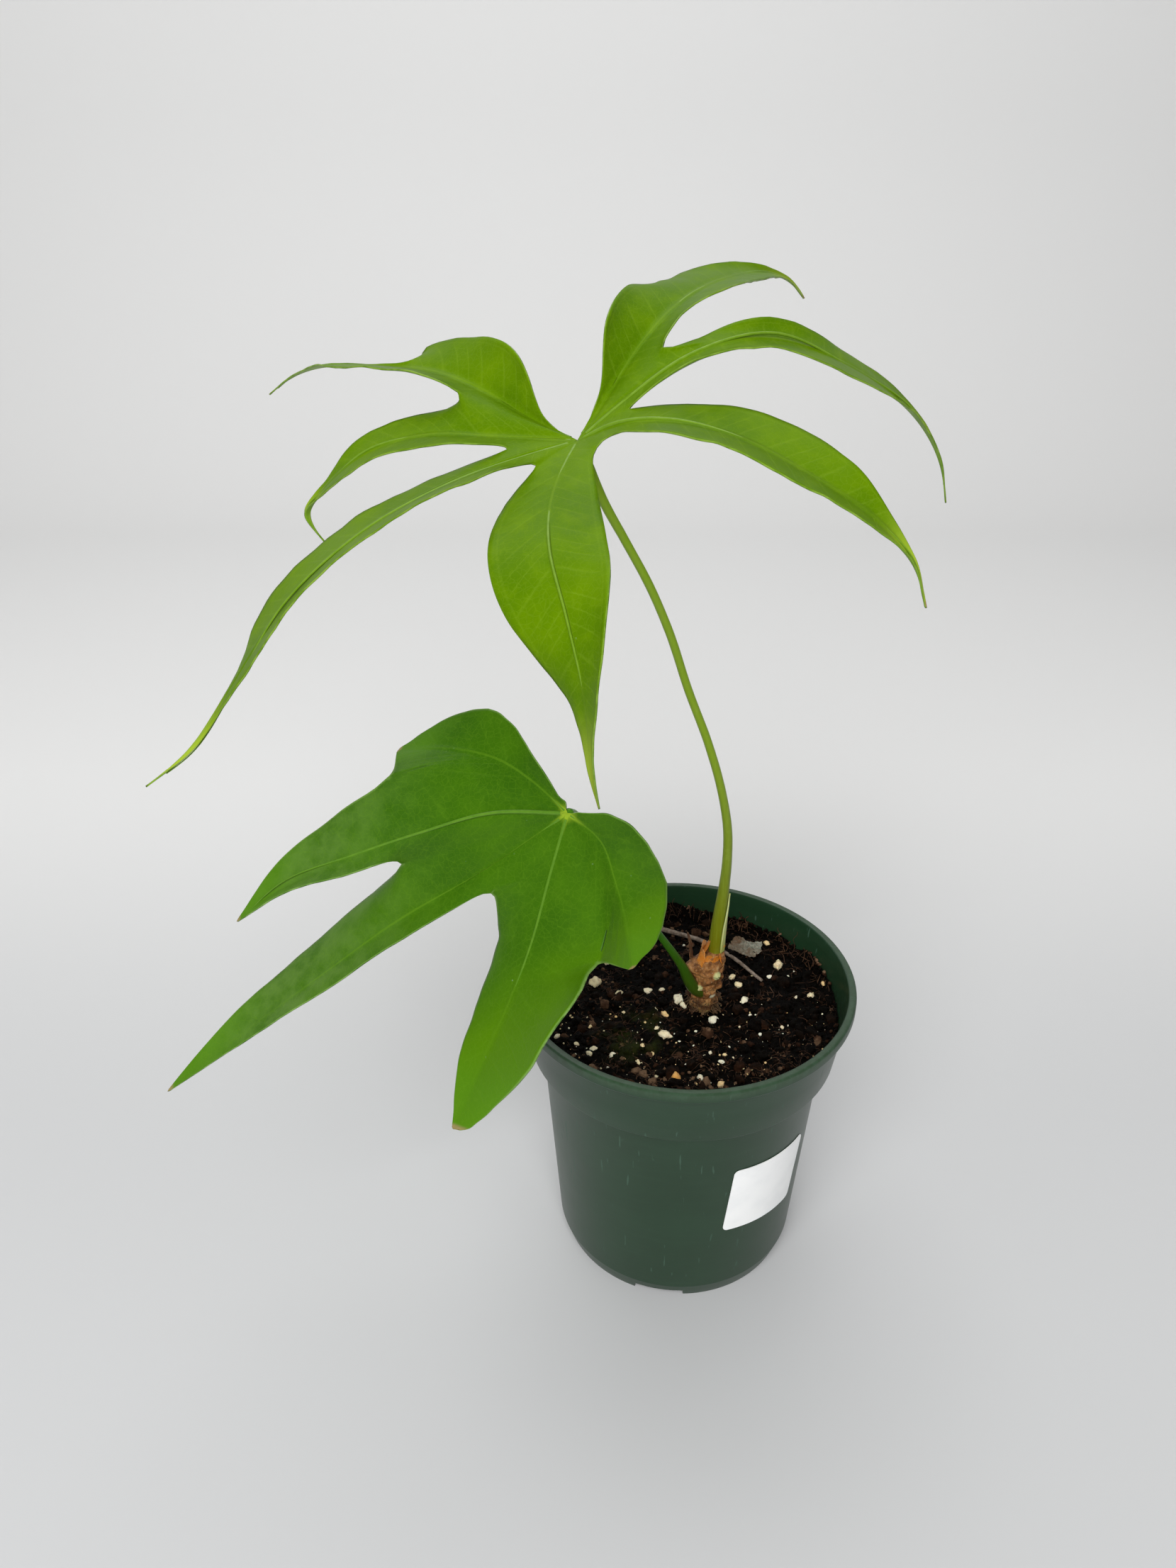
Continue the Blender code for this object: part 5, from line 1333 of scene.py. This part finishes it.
def fibreLine(chance, x, y, length, radius, rise):
    heading = chance.uniform(0, 2 * math.pi)
    bend = chance.uniform(-0.9, 0.9)
    line = []
    steps = fibres["knots"]
    lift = chance.uniform(0.1, 0.5)
    for i in range(steps):
        share = i / (steps - 1)
        heading += bend / steps + chance.uniform(-0.35, 0.35)
        arc = lift + rise * share + 0.5 * math.sin(math.pi * share) * chance.uniform(0.2, 1)
        if math.hypot(x, y) > fibres["wall"]:
            x, y = (v * fibres["wall"] / math.hypot(x, y) for v in (x, y))
        line.append((x, y, groundAt(x, y) + arc, radius * (1 - 0.6 * share)))
        x += length / steps * math.cos(heading)
        y += length / steps * math.sin(heading)
    return line


def makeFibres():
    chance = random.Random(fibres["seed"])
    lines = []

    def anywhere(reach):
        # a point of the soil within reach of the middle
        turn = chance.uniform(0, 2 * math.pi)
        return ringPoint(reach * math.sqrt(chance.random()), turn)[:2]

    for _ in range(fibres["clumps"]):
        middle = anywhere(fibres["reach"])
        for _ in range(fibres["threads"]):
            x, y = (part + chance.gauss(0, fibres["spread"]) for part in middle)
            lines.append(fibreLine(chance, x, y, chance.uniform(*fibres["lengths"]),
                                   chance.uniform(*fibres["radii"]), chance.uniform(0, 0.5)))
    for _ in range(fibres["loose"]):
        lines.append(fibreLine(chance, *anywhere(fibres["looseReach"]),
                               chance.uniform(0.4, 1) * fibres["looseLength"],
                               chance.uniform(*fibres["thickRadii"]), 0.0))
    for _ in range(fibres["tufts"]):
        angle = chance.uniform(*fibres["tuftTurns"])
        x, y, _ = ringPoint(chance.uniform(fibres["tuftReach"], fibres["wall"]), math.radians(angle))
        rise = max(0.3, crustTop(angle) - fibres["tuftFoot"]) * chance.uniform(0.3, 1)
        lines.append(fibreLine(chance, x, y, chance.uniform(*fibres["tuftLengths"]),
                               chance.uniform(*fibres["thickRadii"]), rise))
    foot, last = fibres["hairFoot"], fibres["knots"] - 1
    for angle, top, radius in fibres["hairs"]:
        line = []
        for i in range(last + 1):
            height = foot + (top - foot) * i / last
            reach = fibres["hairReach"] + fibres["hairLean"] * i / last + 0.3 * math.sin(2.1 * i + angle)
            bend = math.radians(angle) + 0.012 * math.sin(1.3 * i + angle)
            line.append((*ringPoint(reach, bend, height), radius * (1 - 0.08 * i)))
        lines.append(line)
    return lines


fibreSkin = plainGrain("bark fibre", (0.085, 0.042, 0.022), (0.02, 0.009, 0.005), 300.0, 0.85)
threads = growStems("soil_fibres", makeFibres(), fibreSkin, 5, 0.8, 0.05, 900.0)
settle(threads, "potting_soil")
print("fibres", len(threads.data.polygons), "faces")


# Rhizome: sections of its core, swellings on it and papery leaf bases round it.
# bumps: (azimuth, height, spread in degrees, spread in mm, push, kind), kind 0 brown, 1 pale bud, 2 pale patch
# flaps: (azimuth, foot, length, width, lean, curl, tone), tone 0 dark brown to 1 orange.
# bare: heights beyond which the core is smooth
rhizome = dict(
    sections=(
        (6.5, 0, 76, 2.2), (6.5, 0, 82, 3.2), (6.5, 0, 89, 3.8), (6.5, 0, 92, 4.1), (6.6, 0, 95.5, 3.9),
        (6.8, 0, 99, 4.1), (7, 0, 102.5, 4.8), (7.2, 0, 106, 5.1), (8, 0, 108.5, 4.4),
        (9.3, 0, 112, 2.8)),
    rows=130, sides=132, rings=(92.6, 95.4, 98.3, 101.2, 104.2, 107, 109.6), ringDepth=0.4,
    bumps=(
        (-165, 106.5, 30, 2.2, 2.1, 0), (-118, 100.2, 13, 1.5, 1.5, 1), (-58, 105.3, 15, 1.4, 1.5, 1),
        (-20, 103, 15, 1.8, 1, 0), (-55, 96.4, 18, 1.2, 1, 2), (-88, 103.2, 16, 1.4, 0.9, 0),
        (-85, 97.6, 14, 1.2, 0.9, 0), (-140, 94, 24, 1.6, 1, 0), (-30, 99.3, 14, 1.3, 1.1, 0),
        (-95, 91.5, 30, 1.4, 1, 0), (-10, 93, 24, 1.4, 0.8, 0), (60, 103, 30, 2, 1, 0),
        (120, 99, 26, 2, 1.2, 0), (90, 93, 30, 1.6, 1.2, 0), (20, 107, 20, 1.6, 0.7, 2)),
    flaps=(
        (-18, 108.6, 6.4, 4.6, -24, 78, 1), (-60, 108, 4.2, 4.2, -20, 56, 0.95),
        (-102, 107.6, 4.6, 4.8, -24, 34, 0.9), (-146, 108, 5.6, 4.2, -28, 26, 0.86),
        (176, 109, 13, 3.4, -25, 20, 0.94), (128, 108.2, 6.4, 4.2, -22, 40, 0.74),
        (78, 108.2, 6.6, 4.4, -24, 45, 0.78), (30, 108.4, 6, 4.2, -26, 60, 0.88),
        (158, 106, 10.5, 3.6, 4, 22, 0.3), (-172, 103, 6.5, 5.6, 0, 26, 0.5),
        (-128, 103.6, 5, 4.4, -4, 30, 0.66), (-75, 101.2, 3.6, 3.2, 0, 45, 0.72),
        (-42, 101.6, 4.6, 3.4, 2, 38, 0.6), (-8, 101, 6.4, 4.4, 0, 34, 0.68),
        (35, 102, 7, 4.8, 2, 30, 0.5), (85, 101, 6.6, 5, 4, 30, 0.42),
        (130, 100, 6.5, 4.6, 4, 34, 0.36), (-100, 96.6, 3.6, 3.8, 6, 48, 0.55),
        (-66, 97.6, 3.4, 3.2, 8, 50, 0.62), (-30, 95.6, 4.4, 4, 6, 44, 0.46),
        (-150, 95.8, 5.2, 4.6, 6, 36, 0.34), (15, 95, 5, 4.6, 8, 40, 0.36),
        (70, 94.6, 5.4, 4.6, 8, 40, 0.3), (125, 94.6, 5.4, 4.6, 8, 40, 0.26),
        (-85, 91.6, 4, 4.4, 16, 50, 0.28), (-45, 91.4, 4.2, 4.2, 16, 52, 0.34),
        (-125, 91.6, 4.4, 4.6, 14, 46, 0.22), (-5, 91.4, 4.2, 4.4, 14, 48, 0.26),
        (175, 91.6, 4.6, 4.6, 12, 42, 0.2)),
    flapThickness=0.2, flapGrid=(16, 10), bare=(88, 113.5), seed=17,
    roots=dict(count=7, knots=7, radii=(0.4, 0.75), reach=3.0, heights=(91.2, 93.2)),
    fringe=dict(count=130, knots=5, radii=(0.06, 0.14), reach=(3.7, 4.6), heights=(90.6, 95.5)),
)


def rhizomeSection(height):
    sections = np.asarray(rhizome["sections"], float)
    return smoothRead(sections[:, 2], sections[:, (0, 1, 3)], [height])[0]


def degreesApart(first, second):
    return abs((first - second + 180) % 360 - 180)


def clipped(value):
    return min(1.0, max(0.0, value))


def coreRadius(azimuth, height):
    # radius of the core there, with how much of it is a bud and how much a pale patch
    radius = rhizomeSection(height)[2]
    turn = math.radians(azimuth)
    shape = Vector(ringPoint(radius, turn, height))
    rough = 0.75 * rumple(shape, 3.6, 2.0) + 0.4 * rumple(shape, 1.5, 5.0) + 0.16 * rumple(shape, 0.6, 9.0)
    push = rough - 0.28 * abs(rumple((azimuth / 9, height / 9, 0), 1.0, 4.0))
    for place in rhizome["rings"]:
        wander = place + 0.7 * math.sin(turn + place) + 0.3 * math.sin(3 * turn + place)
        push -= rhizome["ringDepth"] * math.exp(-(((height - wander) / 0.4) ** 2))
    marked = [0.0, 0.0, 0.0]
    for turnTo, place, spread, tall, out, kind in rhizome["bumps"]:
        near = math.exp(-((degreesApart(azimuth, turnTo) / spread) ** 2) - ((height - place) / tall) ** 2)
        push += out * near
        marked[kind] = max(marked[kind], near)
    low, high = rhizome["bare"]
    return radius + push * clipped((height - low) / 3) * clipped((high - height) / 1.5), marked[1], marked[2]


def makeRhizomeCore(skin):
    rows, sides, sections = rhizome["rows"], rhizome["sides"], rhizome["sections"]
    heights = np.linspace(sections[0][2], sections[-1][2], rows)
    points = [(sections[0][0], 0, heights[0] - 0.3)]
    marks = [(0, 0, 0, 1)]
    for height in heights:
        x, y, _ = rhizomeSection(height)
        for j in range(sides):
            azimuth = 360 * j / sides
            radius, bud, pale = coreRadius(azimuth, height)
            points.append(ringPoint(radius, math.radians(azimuth), height, x, y))
            marks.append((bud, pale, clipped((96 - height) / 5), 1))
    x, y, _ = rhizomeSection(heights[-1])
    points.append((x, y, heights[-1] + 0.4))
    marks.append((0, 0, 0, 1))
    faces = discFaces(rows, sides, flipped=True)
    first = 1 + (rows - 1) * sides
    faces += [(first + j, first + (j + 1) % sides, len(points) - 1) for j in range(sides)]
    core = meshFrom("rhizome_core", points, faces, skin)
    mark(core, "marks", "FLOAT_COLOR", "POINT", marks)
    return core


def makeFlaps(skin):
    # ragged pointed strips of old leaf base, wrapped round the core
    chance = random.Random(rhizome["seed"])
    points, faces, tones = [], [], []
    rows, columns = rhizome["flapGrid"]
    for number, (azimuth, foot, length, width, lean, curl, tone) in enumerate(rhizome["flaps"]):
        turn = math.radians(azimuth)
        out = Vector((math.cos(turn), math.sin(turn), 0))
        aside = Vector((-math.sin(turn), math.cos(turn), 0))
        x, y, _ = rhizomeSection(foot)
        radius = coreRadius(azimuth, foot)[0]
        spot = Vector((x, y, foot)) + out * (radius - 0.35)
        skew = chance.uniform(-0.25, 0.25)
        faces += gridFaces(rows, columns, len(points))
        for i in range(rows + 1):
            share = i / rows
            angle = math.radians(lean + curl * share * share)
            half = 0.5 * width * (1 - share) ** 0.55 * (0.75 + 0.5 * share)
            for j in range(columns + 1):
                side = 2 * j / columns - 1
                sweep = side * half * (1 + 0.3 * rumple((number * 5.0, share * 3.0, side), 0.35, 1.0))
                drop = sweep * sweep / (2 * max(radius, 2.5))
                crease = 0.22 * rumple((side * 2.2, share * 2.5, number * 3.0), 0.5, 2.0)
                points.append(spot + aside * (sweep + skew * share * length * 0.4) - out * (drop - crease))
                tones.append(tone + 0.1 * rumple((share * 2, side, number), 0.6, 6.0) - 0.1 * share)
            spot = spot + (Vector((0, 0, 1)) * math.cos(angle) + out * math.sin(angle)) * (length / rows)
    flaps = meshFrom("rhizome_flaps", points, faces, skin)
    mark(flaps, "tone", "FLOAT", "POINT", tones)
    return thickened(flaps, rhizome["flapThickness"])


@asMaterial("rhizome skin", {"Subsurface Weight": 0.08, "Subsurface Scale": 0.001})
def coreSkin(desk, place):
    # brown fibres, green buds, pale patches, and a darker crown near the soil
    barkTones = ((0.25, (0.03, 0.012, 0.005)), (0.42, (0.13, 0.05, 0.015)), (0.55, (0.3, 0.13, 0.04)),
                 (0.68, (0.45, 0.25, 0.1)), (0.8, (0.58, 0.41, 0.24)))
    bud, pale, crown = desk.channels(desk.attribute("marks", 0))
    cloud = desk.grain(place, 330.0, 5.0, 0.65)
    fine = desk.grain(desk.squeeze(place, 0.35), 1900.0, 4.0, 0.7)
    fibrous = desk.coats(desk.blend(desk.ease(fine, 0.35, 0.65), (0.03, 0.02, 0.01), (0.2, 0.13, 0.06)),
                         (desk.ease(cloud, 0.5, 0.62) * 0.5, (0.06, 0.07, 0.015)))
    budTone = desk.blend(fine, (0.42, 0.47, 0.17), (0.58, 0.58, 0.3))
    tone = desk.coats(desk.ramp(barkTones, cloud), (desk.ease(fine, 0.55, 0.75) * 0.4, (0.62, 0.46, 0.28)),
                      (desk.ease(fine, 0.46, 0.28) * 0.75, (0.07, 0.028, 0.011)), (crown * 0.85, fibrous),
                      (desk.ease(bud, 0.25, 0.6) * 0.9, budTone),
                      (desk.ease(pale, 0.3, 0.7) * 0.75, (0.56, 0.53, 0.36)))
    return {"Base Color": tone, "Roughness": 0.62 + (cloud - 0.5) * 0.3 + crown * 0.15,
            "height": (fine + cloud * 0.5, 0.6, 0.00025)}


@asMaterial("papery leaf base", {
    "Subsurface Weight": 0.15, "Subsurface Scale": 0.001, "Coat Weight": 0.15, "Coat Roughness": 0.4})
def flapSkin(desk, place):
    paperTones = ((0.0, (0.035, 0.016, 0.008)), (0.3, (0.13, 0.06, 0.024)), (0.5, (0.3, 0.145, 0.055)),
                  (0.65, (0.46, 0.23, 0.085)), (0.8, (0.5, 0.18, 0.025)), (1.0, (0.55, 0.16, 0.01)))
    cloud = desk.grain(place, 420.0, 4.0, 0.6)
    veins = desk.grain(desk.squeeze(place, 0.14), 2300.0, 3.0, 0.6)
    colour = desk.coats(desk.ramp(paperTones, desk.attribute("tone") + (cloud - 0.5) * 0.45),
                        (desk.ease(veins, 0.55, 0.78) * 0.3, (0.62, 0.45, 0.26)),
                        (desk.ease(veins, 0.45, 0.25) * 0.55, (0.12, 0.045, 0.015)))
    return {"Base Color": colour, "Roughness": 0.55 + (cloud - 0.5) * 0.3, "height": (veins, 0.5, 0.0002)}


core = makeRhizomeCore(coreSkin)
settle(core, "brown_fibre", "rhizome")
settle(makeFlaps(flapSkin), "brown_fibre")


def rootLines():
    # stubs of roots that dive into the soil, and a fringe of root hairs round the crown
    chance = random.Random(rhizome["seed"] + 1)
    middle = rhizome["sections"][0][0]
    roots, fringe = rhizome["roots"], rhizome["fringe"]
    lines = []
    for number in range(roots["count"]):
        azimuth = math.radians(360 * number / roots["count"] + chance.uniform(-14, 14))
        thick = chance.uniform(*roots["radii"])
        reach = roots["reach"]
        height = chance.uniform(*roots["heights"])
        line = []
        for i in range(roots["knots"]):
            line.append((*ringPoint(reach, azimuth, height, middle), thick * (1 - 0.07 * i)))
            reach += 0.6
            height -= 0.25 + 0.25 * i
            azimuth += chance.uniform(-0.08, 0.08)
        lines.append(line)
    for _ in range(fringe["count"]):
        azimuth = chance.uniform(0, 2 * math.pi)
        reach = chance.uniform(*fringe["reach"])
        height = chance.uniform(*fringe["heights"])
        line = []
        for _ in range(fringe["knots"]):
            line.append((*ringPoint(reach, azimuth, height, middle), chance.uniform(*fringe["radii"])))
            reach += chance.uniform(0.1, 0.7)
            height -= chance.uniform(-0.2, 0.8)
            azimuth += chance.uniform(-0.15, 0.15)
        lines.append(line)
    return lines


rootSkin = plainGrain("root skin", (0.12, 0.07, 0.035), (0.03, 0.018, 0.009), 500.0, 0.75, 0.6, 0.0002)
settle(growStems("rhizome_roots", rootLines(), rootSkin, 9, 0.5, 0.18, 1100.0), "brown_fibre")


# Pale leaf base pressed to the right of the tall stalk
sheath = dict(bottom=112.5, top=134, spread=58, azimuth=-8, thickness=0.45, off=0.08, rows=60, columns=16)


def makeSheath(skin):
    route = np.asarray(tallStalk["route"], float)
    rows, columns = sheath["rows"], sheath["columns"]
    points = []
    for i in range(rows + 1):
        share = i / rows
        height = sheath["bottom"] + (sheath["top"] - sheath["bottom"]) * share
        x, y, radius = smoothRead(route[:, 2], route[:, (0, 1, 3)], [height])[0]
        spread = math.radians(sheath["spread"]) * (1 - 0.82 * share**2.2)
        for j in range(columns + 1):
            side = 2 * j / columns - 1
            lift = sheath["off"] + 0.25 * abs(side) ** 6 + 0.1 * rumple((share * 6, side * 2, 0), 1.0, 3.0)
            angle = math.radians(sheath["azimuth"]) + spread * side
            points.append(ringPoint(radius + max(0.03, lift), angle, height, x, y))
    strip = meshFrom("pale_sheath", points, gridFaces(rows, columns), skin)
    mark(strip, "tone", "FLOAT", "POINT", np.repeat(np.linspace(0, 1, rows + 1), columns + 1))
    return thickened(strip, sheath["thickness"], 1)


@asMaterial("pale sheath skin", {"Subsurface Weight": 0.15, "Subsurface Scale": 0.0015})
def sheathSkin(desk, place):
    stops = ((0.0, (0.36, 0.36, 0.07)), (0.25, (0.5, 0.53, 0.2)), (0.7, (0.52, 0.56, 0.26)),
             (1.0, (0.4, 0.44, 0.16)))
    streak = desk.grain(desk.squeeze(place, 0.05), 2200.0, 3.0, 0.6)
    tone = desk.coats(desk.ramp(stops, desk.attribute("tone")),
                      (desk.ease(streak, 0.45, 0.75) * 0.5, (0.4, 0.48, 0.12)))
    return {"Base Color": tone, "Roughness": 0.45 + streak * 0.1, "height": (streak, 0.3, 0.00012)}


settle(makeSheath(sheathSkin), "pale_sheath", "sheath")


# Dead litter on the soil
dryStem = dict(route=((-13, 42), (-6, 41), (3, 37), (10, 32), (17, 25.5), (22, 20), (27, 12.5)),
               radii=(0.9, 0.5))
scrap = dict(outline=((17.5, 29), (19.5, 34), (22, 37), (24.5, 33.5), (29.5, 33), (29, 28), (25, 24.5),
                      (21, 27)),
             rings=16, sides=128, ragged=0.5, crumple=1.0, thickness=0.28, clear=0.9)


def restHeight(x, y, reach):
    return max(groundAt(x + reach * i / 2, y + reach * j / 2) for i in range(-2, 3) for j in range(-2, 3))


def dryStemLine():
    flat = evenRoute([(x, y, 0, 0) for x, y in dryStem["route"]], 2.0)
    line = []
    for number, (x, y, _, _) in enumerate(flat):
        share = number / (len(flat) - 1)
        radius = dryStem["radii"][0] + (dryStem["radii"][1] - dryStem["radii"][0]) * share
        line.append((x, y, restHeight(x, y, 2.0) + radius + 0.3, radius))
    heights = np.array([knot[2] for knot in line])
    calm = np.convolve(np.pad(heights, 2, mode="edge"), np.ones(5) / 5, mode="valid")
    return [(x, y, max(float(z), height - 0.35), radius) for (x, y, height, radius), z in zip(line, calm)]


def makeScrap(skin):
    corners = np.array(scrap["outline"] + scrap["outline"][:1], float)
    rings, sides = scrap["rings"], scrap["sides"]
    along = pathLength(corners)
    at = np.linspace(0, along[-1], sides, endpoint=False)
    edge = np.stack([np.interp(at, along, corners[:, k]) for k in (0, 1)], -1)
    middle = edge.mean(axis=0)
    level = float(np.mean([groundAt(x, y) for x, y in edge]))
    points = []

    def lay(x, y):
        crease = abs(rumple((x, y, 0), 2.6, 4.0)) * 1.6 + 0.5 * rumple((x, y, 3), 0.9, 2.0)
        points.append((x, y, groundAt(x, y) * 0.35 + 0.65 * level + scrap["clear"] + scrap["crumple"] * crease))

    lay(*middle)
    for i in range(1, rings + 1):
        share = i / rings
        for corner in edge:
            torn = 1 + share**3 * 0.09 * rumple((corner[0], corner[1], 0), 0.8, 1.0) * scrap["ragged"] * 2
            lay(*(middle + share * torn * (corner - middle)))
    sheet = meshFrom("dry_leaf_scrap", points, discFaces(rings, sides, flipped=True), skin)
    piece = thickened(sheet, scrap["thickness"])
    turnedAway(piece)
    return piece


@asMaterial("dry leaf", {"Subsurface Weight": 0.1, "Subsurface Scale": 0.001})
def scrapSkin(desk, place):
    cloud = desk.grain(place, 150.0, 4.0, 0.6)
    fine = desk.grain(place, 1300.0, 4.0, 0.7)
    left = desk.ease(desk.parts(place, 0), 0.0255, 0.0215)
    tone = desk.coats(desk.blend(desk.ease(fine, 0.35, 0.7), (0.12, 0.115, 0.085), (0.29, 0.29, 0.235)),
                      (desk.clamp(desk.ease(cloud, 0.5, 0.62) * 0.6 + left * 0.6), (0.11, 0.065, 0.035)))
    return {"Base Color": tone, "Roughness": 0.8 + (fine - 0.5) * 0.2, "height": (fine, 0.6, 0.0002)}


dryBark = plainGrain("dry stalk", (0.24, 0.19, 0.15), (0.1, 0.07, 0.05), 650.0, 0.8, 0.6, 0.0002)
stick = growStems("dry_stalk", [dryStemLine()], dryBark, 18, 0.5, 0.3, 800.0, groove=0.05)
settle(stick, "dead_stalk", "dry_stem", sharp=70)
settle(makeScrap(scrapSkin), "dead_leaf", "dry_scrap", sharp=60)


# Label: a blank square sticker with round corners, bent round the pot
label = dict(width=29.5, height=27, middle=45.3, azimuth=-52.8, tilt=-4, corner=1.7, off=0.12, thickness=0.25,
             rings=14, cornerSteps=7, edgeStep=1.2, lift=0.05)


def potRadiusAt(height):
    share = (height - pot["footHeight"]) / (pot["collarHeight"] - pot["step"] - pot["footHeight"])
    return pot["bodyFoot"] + (pot["bodyTop"] - pot["bodyFoot"]) * share


def makeLabel(skin):
    outline = []
    bend = label["corner"]
    for sideX, sideZ, first in ((1, 1, 0), (-1, 1, 90), (-1, -1, 180), (1, -1, 270)):
        for i in range(label["cornerSteps"] + 1):
            turn = math.radians(first + 90 * i / label["cornerSteps"])
            outline.append((sideX * (label["width"] / 2 - bend) + bend * math.cos(turn),
                            sideZ * (label["height"] / 2 - bend) + bend * math.sin(turn)))
    edge = []
    for (x0, z0), (x1, z1) in zip(outline, outline[1:] + outline[:1]):
        steps = max(1, int(math.hypot(x1 - x0, z1 - z0) / label["edgeStep"]))
        edge += [(x0 + (x1 - x0) * i / steps, z0 + (z1 - z0) * i / steps) for i in range(steps)]
    tilt = math.radians(label["tilt"])

    def laid(x, z, lift):
        # a point of the sticker on the pot's conical wall
        height = label["middle"] + z * math.cos(tilt) + x * math.sin(tilt)
        sweep = (x * math.cos(tilt) - z * math.sin(tilt)) / potRadiusAt(label["middle"])
        reach = potRadiusAt(height) + label["off"] + lift
        return ringPoint(reach, math.radians(label["azimuth"]) + sweep, height)

    points = [laid(0, 0, 0)]
    for i in range(1, label["rings"] + 1):
        share = i / label["rings"]
        points += [laid(x * share, z * share, label["lift"] * share**8 * (1 + rumple((x, z, 0), 5.0, 2.0)))
                   for x, z in edge]
    return thickened(meshFrom("blank_label", points, discFaces(label["rings"], len(edge)), skin),
                     label["thickness"], 1)


@asMaterial("white label paper")
def labelSkin(desk, place):
    fibre = desk.grain(place, 1600.0, 4.0, 0.6)
    cloud = desk.grain(place, 120.0, 3.0, 0.5)
    tone = desk.blend(desk.ease(cloud, 0.4, 0.7), (0.93, 0.935, 0.93), (0.88, 0.89, 0.89))
    return {"Base Color": tone, "Roughness": 0.42 + (fibre - 0.5) * 0.15,
            "height": (fibre + cloud, 0.15, 0.0001)}


sticker = makeLabel(labelSkin)
turnedAway(sticker)
settle(sticker, "label_paper", "label", sharp=40)
print("rhizome, litter and label done")


# Floor, backdrop and light, in metres
stage = dict(wallDistance=1.15, wallTop=2.4, bend=0.35, bendSteps=24, floorReach=1.6, halfWidth=2.2,
             floorTone=(0.575, 0.58, 0.585), litWallTone=(0.77, 0.77, 0.765), skyTone=(1.0, 1.0, 1.0, 1),
             skyPower=0.22)


def makeStage():
    curve = [(-stage["floorReach"], 0.0)]
    for i in range(stage["bendSteps"] + 1):
        turn = math.radians(90 * i / stage["bendSteps"])
        curve.append((stage["wallDistance"] - stage["bend"] * (1 - math.sin(turn)),
                      stage["bend"] * (1 - math.cos(turn))))
    curve.append((stage["wallDistance"], stage["wallTop"]))
    points = [(side * stage["halfWidth"] / mm, y / mm, z / mm) for y, z in curve for side in (-1, 1)]

    def build(desk, place):
        weave = desk.grain(place, 900.0, 3.0, 0.6)
        # painted light: the one cloth is painted lighter from the floor up the wall, with a broad uneven wash
        rise = desk.ease(desk.parts(place, 1), 0.02, 0.35) + (desk.grain(place, 2.0, 2.0) - 0.5) * 0.1
        shade = desk.blend(desk.clamp(rise), stage["floorTone"], stage["litWallTone"])
        return {"Base Color": shade, "Roughness": 0.85 + weave * 0.1, "height": (weave, 0.05, 0.0002)}

    cloth = meshFrom("backdrop", points, gridFaces(len(curve) - 1, 1), newMaterial("pale backdrop", build))


def addLight(name, location, aim, size, power, gloss):
    data = bpy.data.lights.new(name, "AREA")
    data.shape = "DISK"
    data.size = size
    data.energy = power
    lamp = showObject(name, data)
    lamp.visible_glossy = gloss
    lamp.location = location
    lamp.rotation_euler = (Vector(aim) - Vector(location)).to_track_quat("-Z", "Y").to_euler()


lights = (
    # name, place, aim, size, watts, whether gloss shows it
    ("front lamp", (-0.27, -1.3, 1.25), (0, 0.4, 0.35), 1.5, 36.0, False),
    ("overhead lamp", (-0.15, 0.45, 1.3), (0, 0, 0.1), 1.0, 5.0, True),
)
makeStage()
for row in lights:
    addLight(*row)
world = bpy.data.worlds.new("studio")
scene.world = world
world.use_nodes = True
for number, value in enumerate((stage["skyTone"], stage["skyPower"])):
    world.node_tree.nodes["Background"].inputs[number].default_value = value

# The camera that was fitted to the photo, with its place in metres
view = dict(lens=28, sensor=36, nearest=0.01, place=(-0.0305, -0.3108, 0.3411), tilt=61.35)
lens = bpy.data.cameras.new("camera")
lens.lens = view["lens"]
lens.sensor_width = view["sensor"]
lens.sensor_fit = "AUTO"
lens.clip_start = view["nearest"]
camera = showObject("camera", lens)
camera.location = view["place"]
camera.rotation_euler = (math.radians(view["tilt"]), 0, 0)
scene.camera = camera
print("backdrop, lamps and camera set")

bpy.context.view_layer.update()
